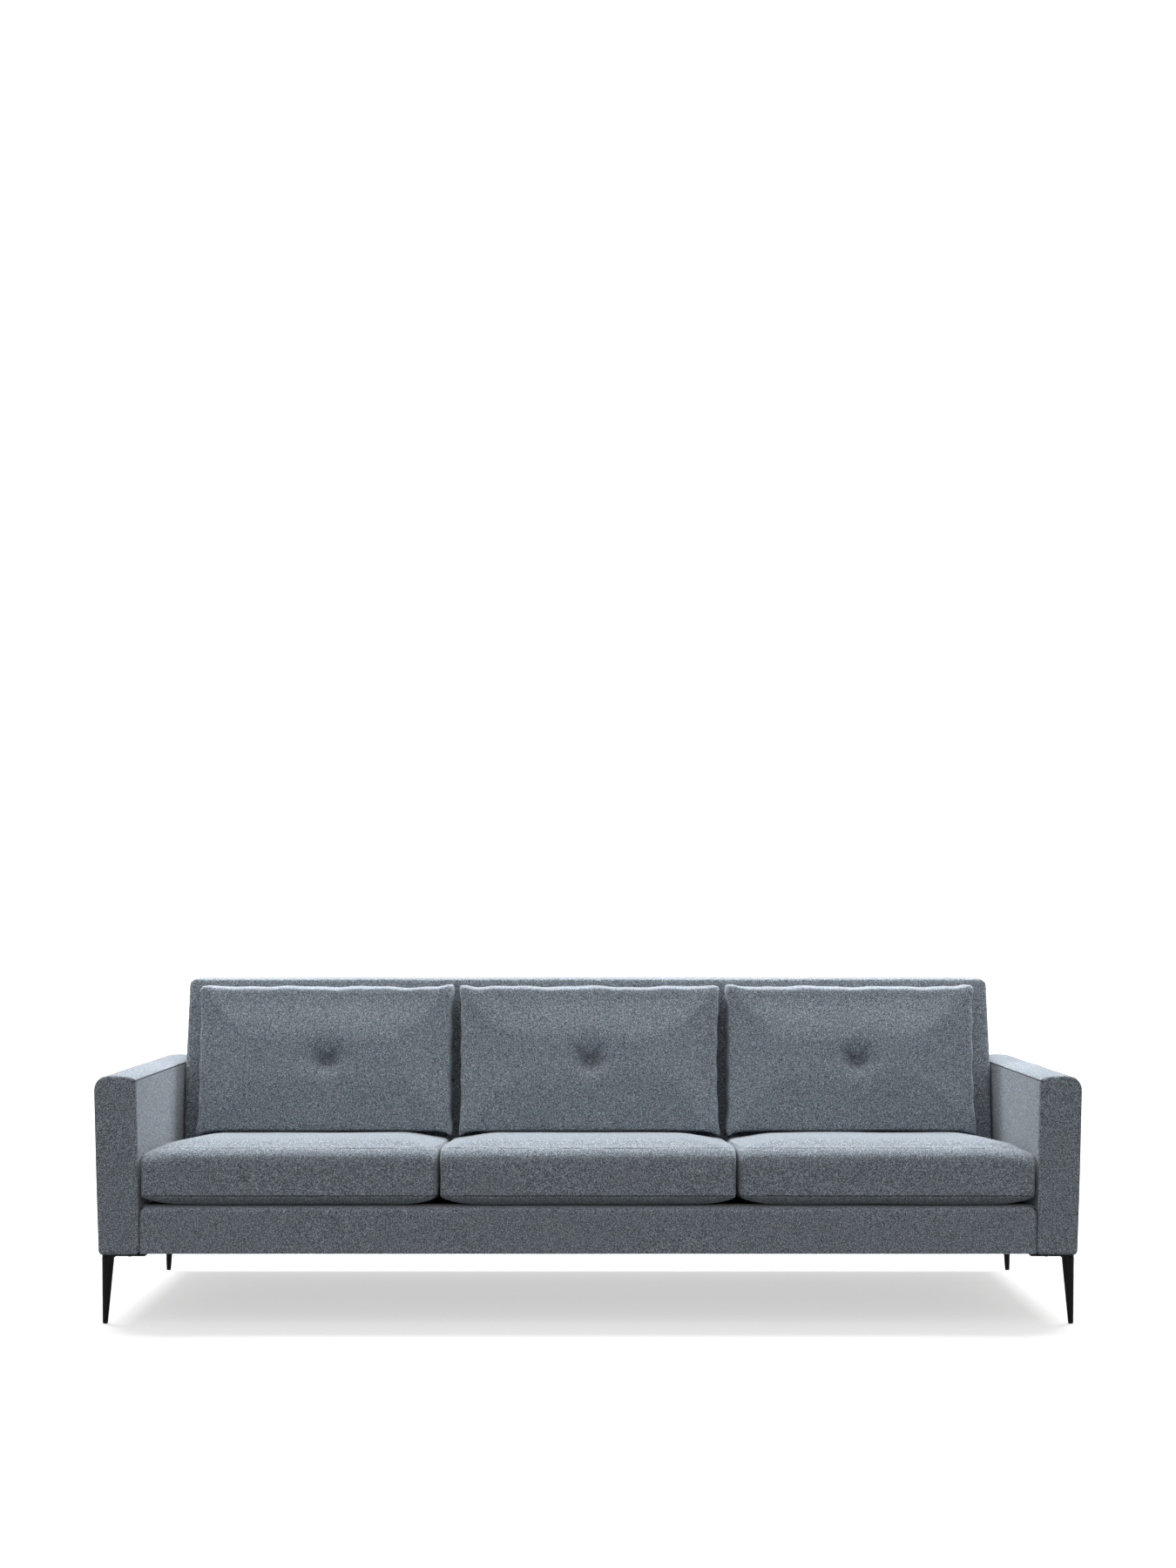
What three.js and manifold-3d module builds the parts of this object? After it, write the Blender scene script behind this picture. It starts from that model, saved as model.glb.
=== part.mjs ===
// A three-seat upholstered sofa on four slim cast-metal legs, taken apart into its real pieces.
// Millimetres, +Z up, +X to the right and +Y to the back, as seen by someone facing the sofa.
// Inside the sofa group y counts from the front of the arms. The group then moves the whole
// sofa so that its origin is under its middle, on the floor.
import * as THREE from "three";
import { mergeVertices } from "three/addons/utils/BufferGeometryUtils.js";
import Module from "manifold-3d";

const wasm = await Module();
wasm.setup();

// The whole sofa
const WIDTH = 2400;
const DEPTH = 870;
const HEIGHT = 827;
const UNDERSIDE = 172; // the upholstered body stands this high on its legs
const SEAT_RAKE = 3.6; // degrees that the seat falls towards the back
const BACK_LEAN = 13.1; // degrees that the backrest leans away from the sitter
const SIDES = { left: -1, right: 1 };
const ENDS = { front: 1, rear: -1 };

// Allowances
const GAP = 0.3; // between pieces that touch
const PADDING = 12; // wadding and cloth over the timber
const DRILL = 0.4; // how much wider a drilled hole is than its screw, on the radius

// Arms
const ARM = { width: 103, top: 611, corner: 20, heel: 9, edge: 6, crownPadding: 15 };
const ARM_CORE = { frontPost: 70, post: 40, rail: 36, bottomRail: 40, middlePost: 520 };
const INNER = WIDTH / 2 - ARM.width; // x of the arms' inner faces

// Legs, measured from the corner of the body that each one stands under
const LEG = { topRadius: 15, footRadius: 6.5, flare: 6, inset: 7, setback: 11, segments: 28 };
const PLATE = { thickness: 4.5, reach: 109, tip: 32, bevel: 1.2 };
const GLIDE = { height: 3, radius: 6.2, pinRadius: 2, pinLength: 6 };
const LEG_SCREW = { shank: 2.2, head: 5, headHeight: 3, length: 24 };
const LEG_SCREW_INWARD = { x: 68, y: 15 }; // from the leg's outer corner, towards the middle
const LEG_SCREW_ALONG = { x: 17, y: 88 }; // from the leg's outer corner, along the arm

// Seat box between the arms
const RAIL = { thickness: 28, bottom: 178.5, front: 14 };
const SEAT_BOX_DEPTH = 571;
const END_RAIL = { thickness: 25, outer: INNER - 4 };
const BAY = 366.5; // x of the joint between two seat cushions
const BOLT = { radius: 4, head: 7, headLength: 5.5, length: 74, z: 226 };
const BOLT_Y = { front: 66, rear: ARM_CORE.middlePost };
const APRON = { top: 290, bottom: 174, halfWidth: INNER - 1, wall: 13.6, flap: 5.4, flapEnd: 90 };
const HEM = { end: 46, thickness: 4.1 }; // the apron's lower edge, turned under the front rail
const WEB = { width: 60, thickness: 2.5, top: 285.6, front: 26, rear: 568, joint: 0.6 };
const DECK = { top: 292.6, thickness: 6.7, halfWidth: INNER - 5 };
const DUST_COVER = { bottom: 174.5, thickness: 1.5, front: 47, rear: 866, halfWidth: 1082 };

// Backrest. Its front face is a leaning plane that starts at the back of the seat box.
const BACK = { halfWidth: INNER - 4, bottom: 177, footZ: 254, corner: 24, heel: 9, edge: 6 };
const BACK_REAR = { bottom: 868, bend: 600, top: 848, corner: 30 };
const RIB = { thickness: 22, outer: 1066, inner: BAY, top: 770 };
const BACK_RAIL = { thickness: 26, halfWidth: 1077 };
const BACK_PANEL = { thickness: 3, space: 4.6, bottom: 262, top: 790, halfWidth: 1076 };

// Cushions. The seat cushions fill the seat; the back cushions stand on them, a little apart.
const SEAT_CUSHION = { width: 726, pitch: 730, top: 458, bottom: 294.5, rearFoot: 567 };
const SEAT_CUSHION_SOFT = { corner: 34, edge: 26 };
const BACK_CUSHION = { front: 505, top: 811, frontTop: 806, corner: 32, edge: 28 };
const BACK_CUSHIONS = {
  left: { x: -702, width: 676, tuft: 5 },
  centre: { x: 3, width: 692, tuft: 2 },
  right: { x: 702, width: 660, tuft: 16 },
};
const TUFT = { z: 607, radius: 18, depth: 11 };
const BUTTON = { radius: 13, rim: 3.5, dome: 2.5, seat: 1 };
const CLEARANCE = 4; // between a loose cushion and what it rests on or leans against

const FINISH = {
  cloth: { color: 0x6b7076, roughness: 0.95, metalness: 0 },
  liner: { color: 0x2c2d30, roughness: 0.95, metalness: 0 },
  webbing: { color: 0x1f1f21, roughness: 0.85, metalness: 0 },
  timber: { color: 0xc9a877, roughness: 0.75, metalness: 0 },
  plywood: { color: 0xd2b68c, roughness: 0.7, metalness: 0 },
  hardboard: { color: 0x8a6440, roughness: 0.8, metalness: 0 },
  legCoat: { color: 0x1b1c1d, roughness: 0.45, metalness: 0.4 },
  plastic: { color: 0x18191a, roughness: 0.6, metalness: 0 },
  steel: { color: 0x9a9da0, roughness: 0.35, metalness: 0.9 },
};

const rakeSlope = Math.tan(THREE.MathUtils.degToRad(SEAT_RAKE));
const leanSlope = Math.tan(THREE.MathUtils.degToRad(BACK_LEAN));

// Height of a raked seat surface that passes the front of the arms at `frontZ`.
const raked = (frontZ, y) => frontZ - y * rakeSlope;

// y of the backrest's front face at height z.
const backFace = (z) => SEAT_BOX_DEPTH + 1 + (z - BACK.footZ) * leanSlope;

function mesh(name, finish, geometry) {
  const made = new THREE.Mesh(geometry, new THREE.MeshStandardMaterial(FINISH[finish]));
  made.name = name;
  return made;
}

// A manifold-3d solid from a closed three.js geometry.
function toSolid(geometry) {
  const bare = geometry.clone();
  bare.deleteAttribute("normal");
  bare.deleteAttribute("uv");
  const merged = mergeVertices(bare, 1e-3);
  return new wasm.Manifold(
    new wasm.Mesh({
      numProp: 3,
      vertProperties: merged.attributes.position.array,
      triVerts: new Uint32Array(merged.index.array),
    }),
  );
}

function toGeometry(solid) {
  const { vertProperties, triVerts } = solid.getMesh();
  const geometry = new THREE.BufferGeometry();
  geometry.setAttribute("position", new THREE.BufferAttribute(vertProperties, 3));
  geometry.setIndex(new THREE.BufferAttribute(triVerts, 1));
  geometry.computeVertexNormals();
  return geometry;
}

function cut(geometry, ...tools) {
  return toGeometry(tools.reduce((body, tool) => body.subtract(toSolid(tool)), toSolid(geometry)));
}

function join(first, ...others) {
  return toGeometry(others.reduce((body, other) => body.add(toSolid(other)), toSolid(first)));
}

// A box between two corners, given as ranges along x, y and z.
function block([x0, x1], [y0, y1], [z0, z1]) {
  const box = new THREE.BoxGeometry(x1 - x0, y1 - y0, z1 - z0);
  return box.translate((x0 + x1) / 2, (y0 + y1) / 2, (z0 + z1) / 2);
}

// A closed outline through [x, y, radius] corners, each one rounded by its radius.
function roundedOutline(corners) {
  const shape = new THREE.Shape();
  corners.forEach(([x, y, radius = 0], i) => {
    const [beforeX, beforeY] = corners.at(i - 1);
    const [afterX, afterY] = corners[(i + 1) % corners.length];
    if (radius === 0) {
      if (i === 0) shape.moveTo(x, y);
      else shape.lineTo(x, y);
      return;
    }
    const corner = new THREE.Vector2(x, y);
    const toBefore = new THREE.Vector2(beforeX - x, beforeY - y).normalize();
    const toAfter = new THREE.Vector2(afterX - x, afterY - y).normalize();
    const half = Math.acos(toBefore.dot(toAfter)) / 2;
    const tangent = radius / Math.tan(half);
    const centre = toBefore.clone().add(toAfter).setLength(radius / Math.sin(half)).add(corner);
    const from = toBefore.clone().multiplyScalar(tangent).add(corner).sub(centre).angle();
    const to = toAfter.clone().multiplyScalar(tangent).add(corner).sub(centre).angle();
    shape.absarc(centre.x, centre.y, radius, from, to, toBefore.cross(toAfter) > 0);
  });
  return shape;
}

// An outline pushed through `length`, its two end edges rounded by `edge`.
function pushed(corners, length, edge = 0) {
  const solid = new THREE.ExtrudeGeometry(roundedOutline(corners), {
    depth: length - 2 * edge,
    bevelEnabled: edge > 0,
    bevelThickness: edge,
    bevelSize: edge,
    bevelOffset: -edge,
    bevelSegments: 3,
    curveSegments: 3,
  });
  return solid.translate(0, 0, edge);
}

// A side outline of [y, z, radius] corners, made into a solid across x from x0 to x1.
function across(corners, [x0, x1], edge = 0) {
  const turn = new THREE.Matrix4().makeBasis(
    new THREE.Vector3(0, 1, 0),
    new THREE.Vector3(0, 0, 1),
    new THREE.Vector3(1, 0, 0),
  );
  return pushed(corners, x1 - x0, edge)
    .applyMatrix4(turn)
    .translate(x0, 0, 0);
}

// A front outline of [x, z, radius] corners, made into a solid along y from y0 to y1.
function along(corners, [y0, y1], edge = 0) {
  return pushed(corners, y1 - y0, edge)
    .rotateX(Math.PI / 2)
    .translate(0, y1, 0);
}

// A turned solid about a vertical axis, from [radius, z] points that start and end on the axis.
function turned(points, segments) {
  const profile = points.map(([radius, z]) => new THREE.Vector2(radius, z));
  return new THREE.LatheGeometry(profile, segments).rotateX(Math.PI / 2);
}

// A drill bit along z between z0 and z1.
function uprightHole(radius, x, y, [z0, z1]) {
  const bit = new THREE.CylinderGeometry(radius, radius, z1 - z0, 16);
  return bit.rotateX(Math.PI / 2).translate(x, y, (z0 + z1) / 2);
}

// A drill bit along x between x0 and x1.
function crossHole(radius, y, z, [x0, x1]) {
  const bit = new THREE.CylinderGeometry(radius, radius, x1 - x0, 16);
  return bit.rotateZ(Math.PI / 2).translate((x0 + x1) / 2, y, z);
}

// ---- Legs. Each leg group's origin is the corner of the body that it stands under: its
// casting lies at negative x and positive y from there, and mirroring makes the other three.

const plateBottom = UNDERSIDE - PLATE.thickness;
const footBottom = GLIDE.height + GAP;
const flareBottom = plateBottom - LEG.flare;
const legCorner = { x: -LEG.inset, y: LEG.setback };
const foot = { x: legCorner.x - LEG.footRadius, y: legCorner.y + LEG.footRadius };
const legScrews = [LEG_SCREW_INWARD, LEG_SCREW_ALONG].map(({ x, y }) => ({
  x: legCorner.x - x,
  y: legCorner.y + y,
}));

// The leg's radius at height z: a straight taper, then a flare that runs into the plate.
function legRadius(z) {
  if (z < flareBottom) {
    const rise = (z - footBottom) / (flareBottom - footBottom);
    return THREE.MathUtils.lerp(LEG.footRadius, LEG.topRadius, rise);
  }
  const rise = Math.min(1, (z - flareBottom) / LEG.flare);
  return LEG.topRadius + LEG.flare * rise * rise;
}

// The tapered leg below the plate, leaning so that its two outer sides stand upright.
function legCone() {
  const top = plateBottom + PLATE.thickness / 2;
  const middle = (footBottom + flareBottom) / 2;
  const heights = [footBottom, middle, flareBottom, plateBottom - LEG.flare / 2, plateBottom, top];
  const side = heights.map((z) => [legRadius(z), z]);
  const cone = turned([[0, footBottom], ...side, [0, top]], LEG.segments);
  const place = cone.attributes.position;
  for (let i = 0; i < place.count; i++) {
    const radius = legRadius(place.getZ(i));
    place.setX(i, place.getX(i) + legCorner.x - radius);
    place.setY(i, place.getY(i) + legCorner.y + radius);
  }
  return cone;
}

// The flat plate that the leg hangs from: a triangle with its two far corners cut off.
function legPlate() {
  const { reach, tip, bevel, thickness } = PLATE;
  const { x, y } = legCorner;
  const outline = [
    [x, y, LEG.topRadius],
    [x, y + reach, 6],
    [x - tip, y + reach, 10],
    [x - reach, y + tip, 10],
    [x - reach, y, 6],
  ];
  return pushed(outline, thickness - GAP, bevel).translate(0, 0, plateBottom);
}

function legCasting(name) {
  const holes = legScrews.map(({ x, y }) =>
    uprightHole(LEG_SCREW.shank + DRILL, x, y, [plateBottom - 1, UNDERSIDE + 1]),
  );
  const pinTop = footBottom + GLIDE.pinLength + GAP;
  const pinHole = uprightHole(GLIDE.pinRadius + GAP, foot.x, foot.y, [footBottom - 1, pinTop]);
  return mesh(name, "legCoat", cut(join(legPlate(), legCone()), ...holes, pinHole));
}

// A plastic pad with a pin that is pressed up into the foot.
function legGlide(name) {
  const { height, radius, pinRadius, pinLength } = GLIDE;
  const profile = [
    [0, 0],
    [radius - 0.6, 0],
    [radius, 0.6],
    [radius, height],
    [pinRadius, height],
    [pinRadius, height + pinLength],
    [0, height + pinLength],
  ];
  const glide = mesh(name, "plastic", turned(profile, 14));
  glide.position.set(foot.x, foot.y, 0);
  return glide;
}

// A round-head screw, up through the plate into the arm's bottom rail.
function legScrew(name, { x, y }) {
  const { shank, head, headHeight, length } = LEG_SCREW;
  const profile = [
    [0, -headHeight],
    [head * 0.7, -headHeight],
    [head, -headHeight * 0.5],
    [head, 0],
    [shank, 0],
    [shank, length - 4],
    [0, length],
  ];
  const screw = mesh(name, "steel", turned(profile, 12));
  screw.position.set(x, y, plateBottom - GAP);
  return screw;
}

function legGroup(end, side) {
  const leg = new THREE.Group();
  leg.position.set((SIDES[side] * WIDTH) / 2, ENDS[end] > 0 ? 0 : DEPTH, 0);
  leg.scale.set(SIDES[side], ENDS[end], 1);
  leg.add(legCasting(`leg_${end}_${side}`));
  leg.add(legGlide(`foot_glide_${end}_${side}`));
  legScrews.forEach((place, i) => {
    leg.add(legScrew(`leg_screw_${end}_${side}_${i + 1}`, place));
  });
  return leg;
}

// ---- Arms. Each arm group's origin is at the arm's inner face, and x runs outwards.

const coreX = [PADDING + 2 * GAP, ARM.width - PADDING - 2 * GAP];
const coreFront = PADDING + 2;
const coreRear = DEPTH - PADDING - 2;
const armPosts = {
  front: [coreFront, coreFront + ARM_CORE.frontPost],
  middle: [ARM_CORE.middlePost - ARM_CORE.post / 2, ARM_CORE.middlePost + ARM_CORE.post / 2],
  rear: [coreRear - ARM_CORE.post, coreRear],
};
const bottomRailTop = UNDERSIDE + ARM_CORE.bottomRail;
const topRailTop = ARM.top - ARM.crownPadding - 2 * GAP;
const topRailBottom = topRailTop - ARM_CORE.rail;

// Wadding and cloth, drawn down over the arm frame like a sleeve and open underneath.
function armCover(name) {
  const { width, top, corner, heel, edge, crownPadding } = ARM;
  const outline = [
    [0, UNDERSIDE, heel],
    [width, UNDERSIDE, heel],
    [width, top, corner],
    [0, top, corner],
  ];
  const inside = block(
    [PADDING, width - PADDING],
    [PADDING, DEPTH - PADDING],
    [UNDERSIDE - 1, top - crownPadding],
  );
  const holes = Object.values(BOLT_Y).map((y) =>
    crossHole(BOLT.radius + DRILL, y, BOLT.z, [-1, PADDING + 1]),
  );
  return mesh(name, "cloth", cut(along(outline, [0, DEPTH], edge), inside, ...holes));
}

// The bottom rail takes the leg screws of the front leg and of the rear leg.
function armBottomRail(name) {
  const rail = block(coreX, [coreFront, coreRear], [UNDERSIDE + GAP, bottomRailTop]);
  const holes = legScrews.flatMap(({ x, y }) =>
    [y, DEPTH - y].map((place) =>
      uprightHole(LEG_SCREW.shank + DRILL, ARM.width + x, place, [
        UNDERSIDE - 1,
        plateBottom + LEG_SCREW.length + 2,
      ]),
    ),
  );
  return mesh(name, "timber", cut(rail, ...holes));
}

function armPost(name, range) {
  const post = block(coreX, range, [bottomRailTop + GAP, topRailBottom - GAP]);
  const holes = Object.values(BOLT_Y)
    .filter((y) => y > range[0] && y < range[1])
    .map((y) => crossHole(BOLT.radius + DRILL, y, BOLT.z, [coreX[0] - 1, coreX[1] - 10]));
  return mesh(name, "timber", holes.length ? cut(post, ...holes) : post);
}

function armGroup(side) {
  const arm = new THREE.Group();
  arm.position.x = SIDES[side] * INNER;
  arm.scale.x = SIDES[side];
  arm.add(armCover(`arm_cover_${side}`));
  arm.add(armBottomRail(`arm_bottom_rail_${side}`));
  for (const [place, range] of Object.entries(armPosts)) {
    arm.add(armPost(`arm_${place}_post_${side}`, range));
  }
  const topRail = block(coreX, [coreFront, coreRear], [topRailBottom, topRailTop]);
  arm.add(mesh(`arm_top_rail_${side}`, "timber", topRail));
  return arm;
}

// ---- Seat box: four rails and two cross rails, bolted between the arms.

const webUnderside = WEB.top - WEB.thickness - GAP;
const railRange = [RAIL.front, RAIL.front + RAIL.thickness];
const rearRailRange = [SEAT_BOX_DEPTH - RAIL.thickness, SEAT_BOX_DEPTH];
const between = [railRange[1] + GAP, rearRailRange[0] - GAP];

// The front or rear rail, across the whole seat.
function longRail(name, range) {
  const top = raked(webUnderside, range[1]);
  const rail = block([-END_RAIL.outer, END_RAIL.outer], range, [RAIL.bottom, top]);
  return mesh(name, "timber", rail);
}

// A rail on edge that runs front to back, its top cut to the slope of the seat.
function slopedRail(range) {
  const outline = [
    [between[0], RAIL.bottom],
    [between[1], RAIL.bottom],
    [between[1], raked(webUnderside, between[1])],
    [between[0], raked(webUnderside, between[0])],
  ];
  return across(outline, range);
}

function crossRail(name, x) {
  const half = END_RAIL.thickness / 2;
  return mesh(name, "timber", slopedRail([x - half, x + half]));
}

function endRail(side) {
  const inner = END_RAIL.outer - END_RAIL.thickness;
  const range = side === "left" ? [-END_RAIL.outer, -inner] : [inner, END_RAIL.outer];
  const holes = Object.values(BOLT_Y).map((y) =>
    crossHole(BOLT.radius + DRILL, y, BOLT.z, [range[0] - 1, range[1] + 1]),
  );
  return mesh(`seat_end_rail_${side}`, "timber", cut(slopedRail(range), ...holes));
}

// A hexagon-head bolt from inside the seat box, outwards into an arm post.
function armBolt(place, side) {
  const { radius, head, headLength, length, z } = BOLT;
  const shank = new THREE.CylinderGeometry(radius, radius, length, 16).translate(0, length / 2, 0);
  const hex = new THREE.CylinderGeometry(head, head, headLength, 6);
  const geometry = join(shank, hex.translate(0, GAP - headLength / 2, 0));
  const bolt = mesh(`arm_bolt_${place}_${side}`, "steel", geometry);
  bolt.rotation.z = (-SIDES[side] * Math.PI) / 2;
  const headFace = END_RAIL.outer - END_RAIL.thickness - 2 * GAP;
  bolt.position.set(SIDES[side] * headFace, BOLT_Y[place], z);
  return bolt;
}

// Cloth over wadding on the front rail: front wall, a hem under the rail, and a flap over it
// that reaches back to the deck.
function apronCover() {
  const { top, bottom, halfWidth, wall, flap, flapEnd } = APRON;
  const flapTop = raked(DECK.top, flapEnd);
  const outline = [
    [0, bottom, 6],
    [0, top, 10],
    [railRange[1], top],
    [flapEnd, flapTop],
    [flapEnd, flapTop - flap],
    [railRange[1], top - flap],
    [wall, top - flap],
    [wall, bottom + HEM.thickness],
    [HEM.end, bottom + HEM.thickness],
    [HEM.end, bottom],
  ];
  return mesh("apron_cover", "cloth", across(outline, [-halfWidth, halfWidth]));
}

// Elastic webbing over one bay: straps front to back, and straps across, joined where they cross.
function seatWebbing(name, [x0, x1]) {
  const { width, thickness, front, rear } = WEB;
  const depth = [-thickness, 0];
  const places = (low, high, count) =>
    Array.from({ length: count }, (_, i) => low + ((high - low) * (i + 0.5)) / count);
  const lengthways = places(x0, x1, 4).map((x) =>
    block([x - width / 2, x + width / 2], [front, rear], depth),
  );
  const crossways = places(front, rear, 3).map((y) =>
    block([x0, x1], [y - width / 2, y + width / 2], depth),
  );
  const panel = mesh(name, "webbing", join(...lengthways, ...crossways));
  panel.rotation.x = -THREE.MathUtils.degToRad(SEAT_RAKE);
  panel.position.z = WEB.top;
  return panel;
}

// Felt under platform cloth, laid over the webbing behind the apron's flap.
function seatDeck() {
  const { top, thickness, halfWidth } = DECK;
  const front = APRON.flapEnd + GAP;
  const rear = SEAT_BOX_DEPTH - GAP;
  const outline = [
    [front, raked(top - thickness, front)],
    [rear, raked(top - thickness, rear)],
    [rear, raked(top, rear)],
    [front, raked(top, front)],
  ];
  return mesh("seat_deck", "liner", across(outline, [-halfWidth, halfWidth]));
}

function dustCover() {
  const { bottom, thickness, front, rear, halfWidth } = DUST_COVER;
  const sheet = block([-halfWidth, halfWidth], [front, rear], [bottom, bottom + thickness]);
  return mesh("dust_cover", "liner", sheet);
}

function seatBox() {
  const seat = new THREE.Group();
  seat.add(longRail("seat_front_rail", railRange));
  seat.add(longRail("seat_rear_rail", rearRailRange));
  for (const side of Object.keys(SIDES)) {
    seat.add(endRail(side));
    seat.add(crossRail(`seat_cross_rail_${side}`, SIDES[side] * BAY));
    seat.add(armBolt("front", side));
    seat.add(armBolt("rear", side));
  }
  const outer = END_RAIL.outer - 2;
  seat.add(seatWebbing("seat_webbing_left", [-outer, -BAY - WEB.joint]));
  seat.add(seatWebbing("seat_webbing_centre", [-BAY + WEB.joint, BAY - WEB.joint]));
  seat.add(seatWebbing("seat_webbing_right", [BAY + WEB.joint, outer]));
  seat.add(seatDeck());
  seat.add(apronCover());
  seat.add(dustCover());
  return seat;
}

// ---- Backrest: plywood ribs and a top rail inside a padded cover.

const coverWall = PADDING / Math.cos(THREE.MathUtils.degToRad(BACK_LEAN));
const rearFace = (z) => {
  const rise = Math.max(0, z - BACK_REAR.bend) / (HEIGHT - BACK_REAR.bend);
  return BACK_REAR.bottom - (BACK_REAR.bottom - BACK_REAR.top) * rise;
};

// A side outline that keeps `front` and `rear` inside the backrest's own outline.
function backOutline(bottom, top, front, rear) {
  return [
    [backFace(BACK.footZ) + front, bottom],
    [backFace(BACK.footZ) + front, BACK.footZ],
    [backFace(top) + front, top],
    [rearFace(top) - rear, top],
    [rearFace(BACK_REAR.bend) - rear, BACK_REAR.bend],
    [BACK_REAR.bottom - rear, bottom],
  ];
}

// The padded cover, open underneath, where it is stapled to the frame.
function backCover() {
  const outline = backOutline(BACK.bottom, HEIGHT, 0, 0);
  outline[0].push(BACK.heel);
  outline[2].push(BACK.corner);
  outline[3].push(BACK_REAR.corner);
  outline[5].push(BACK.heel);
  const body = across(outline, [-BACK.halfWidth, BACK.halfWidth], BACK.edge);
  const innerHalf = BACK.halfWidth - PADDING;
  const inside = across(
    backOutline(BACK.bottom - 5, HEIGHT - PADDING, coverWall, PADDING),
    [-innerHalf, innerHalf],
  );
  return mesh("back_cover", "cloth", cut(body, inside));
}

function backRib(name, x) {
  const outline = backOutline(RAIL.bottom, RIB.top, coverWall + BACK_PANEL.space, PADDING + 1);
  const half = RIB.thickness / 2;
  return mesh(name, "plywood", across(outline, [x - half, x + half]));
}

function backTopRail() {
  const bottom = RIB.top + GAP;
  const top = bottom + BACK_RAIL.thickness;
  const range = [backFace(top) + coverWall + BACK_PANEL.space, rearFace(top) - PADDING - 1];
  const width = [-BACK_RAIL.halfWidth, BACK_RAIL.halfWidth];
  return mesh("back_top_rail", "timber", block(width, range, [bottom, top]));
}

// Hardboard stapled over the front of the ribs.
function backPanel() {
  const { thickness, bottom, top, halfWidth } = BACK_PANEL;
  const front = coverWall + 2 * GAP;
  const outline = [
    [backFace(bottom) + front, bottom],
    [backFace(bottom) + front + thickness, bottom],
    [backFace(top) + front + thickness, top],
    [backFace(top) + front, top],
  ];
  return mesh("back_panel", "hardboard", across(outline, [-halfWidth, halfWidth]));
}

function backrest() {
  const back = new THREE.Group();
  back.add(backCover());
  for (const side of Object.keys(SIDES)) {
    back.add(backRib(`back_rib_outer_${side}`, SIDES[side] * RIB.outer));
    back.add(backRib(`back_rib_inner_${side}`, SIDES[side] * RIB.inner));
  }
  back.add(backTopRail());
  back.add(backPanel());
  return back;
}

// ---- Loose cushions

// A boxed foam cushion that follows the rake of the seat, with a crowned top.
function seatCushion(name, x) {
  const { width, top, bottom, rearFoot } = SEAT_CUSHION;
  const { corner, edge } = SEAT_CUSHION_SOFT;
  const rearTopZ = raked(top, rearFoot);
  const rearTopY = backFace(rearTopZ) - 2 * CLEARANCE;
  const outline = [
    [0, bottom, corner],
    [rearFoot, raked(bottom, rearFoot), corner],
    [rearTopY, raked(top, rearTopY), corner],
    [0, top, corner],
  ];
  const cushion = mesh(name, "cloth", across(outline, [-width / 2, width / 2], edge));
  cushion.position.x = x;
  return cushion;
}

const cushionFront = (z) => BACK_CUSHION.front + (z - SEAT_CUSHION.top) * leanSlope;
const tuftY = cushionFront(TUFT.z);
const leanTurn = -THREE.MathUtils.degToRad(BACK_LEAN);

// A stuffed cushion that leans on the backrest, with a pocket where the tuft pulls it in.
function backCushion(name, { width, tuft }) {
  const { front, top, frontTop, corner, edge } = BACK_CUSHION;
  const foot = SEAT_CUSHION.top + CLEARANCE;
  const rearFootZ = raked(foot, front + 100);
  const outline = [
    [cushionFront(raked(foot, front)), raked(foot, front), corner],
    [backFace(rearFootZ) - CLEARANCE, rearFootZ, corner],
    [backFace(top) - CLEARANCE, top, corner],
    [cushionFront(frontTop), frontTop, corner],
  ];
  const body = across(outline, [-width / 2, width / 2], edge);
  const pocket = new THREE.CylinderGeometry(TUFT.radius, TUFT.radius, 2 * TUFT.depth, 24);
  pocket.rotateX(leanTurn).translate(tuft, tuftY, TUFT.z);
  return mesh(name, "cloth", cut(body, pocket));
}

// A cloth-covered button at the bottom of the tuft, domed towards the sitter.
function tuftButton(name, { tuft }) {
  const { radius, rim, dome, seat } = BUTTON;
  const profile = [
    [0, 0],
    [radius - 1, 0],
    [radius, 1],
    [radius, rim],
    [radius * 0.7, rim + dome * 0.7],
    [0, rim + dome],
  ];
  const button = mesh(name, "cloth", turned(profile, 24));
  const depth = TUFT.depth - seat;
  button.rotation.x = Math.PI / 2 + leanTurn;
  button.position.set(
    tuft,
    tuftY + depth * Math.cos(leanTurn),
    TUFT.z + depth * Math.sin(leanTurn),
  );
  return button;
}

function backCushionGroup(place) {
  const group = new THREE.Group();
  group.position.x = BACK_CUSHIONS[place].x;
  group.add(backCushion(`back_cushion_${place}`, BACK_CUSHIONS[place]));
  group.add(tuftButton(`tuft_button_${place}`, BACK_CUSHIONS[place]));
  return group;
}

// ---- Everything together

const sofa = new THREE.Group();
sofa.name = "sofa";
sofa.position.y = -DEPTH / 2;
for (const side of Object.keys(SIDES)) {
  sofa.add(armGroup(side));
  for (const end of Object.keys(ENDS)) sofa.add(legGroup(end, side));
}
sofa.add(seatBox());
sofa.add(backrest());
Object.keys(BACK_CUSHIONS).forEach((place, i) => {
  sofa.add(seatCushion(`seat_cushion_${place}`, (i - 1) * SEAT_CUSHION.pitch));
  sofa.add(backCushionGroup(place));
});

export default sofa;
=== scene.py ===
import math

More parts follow.
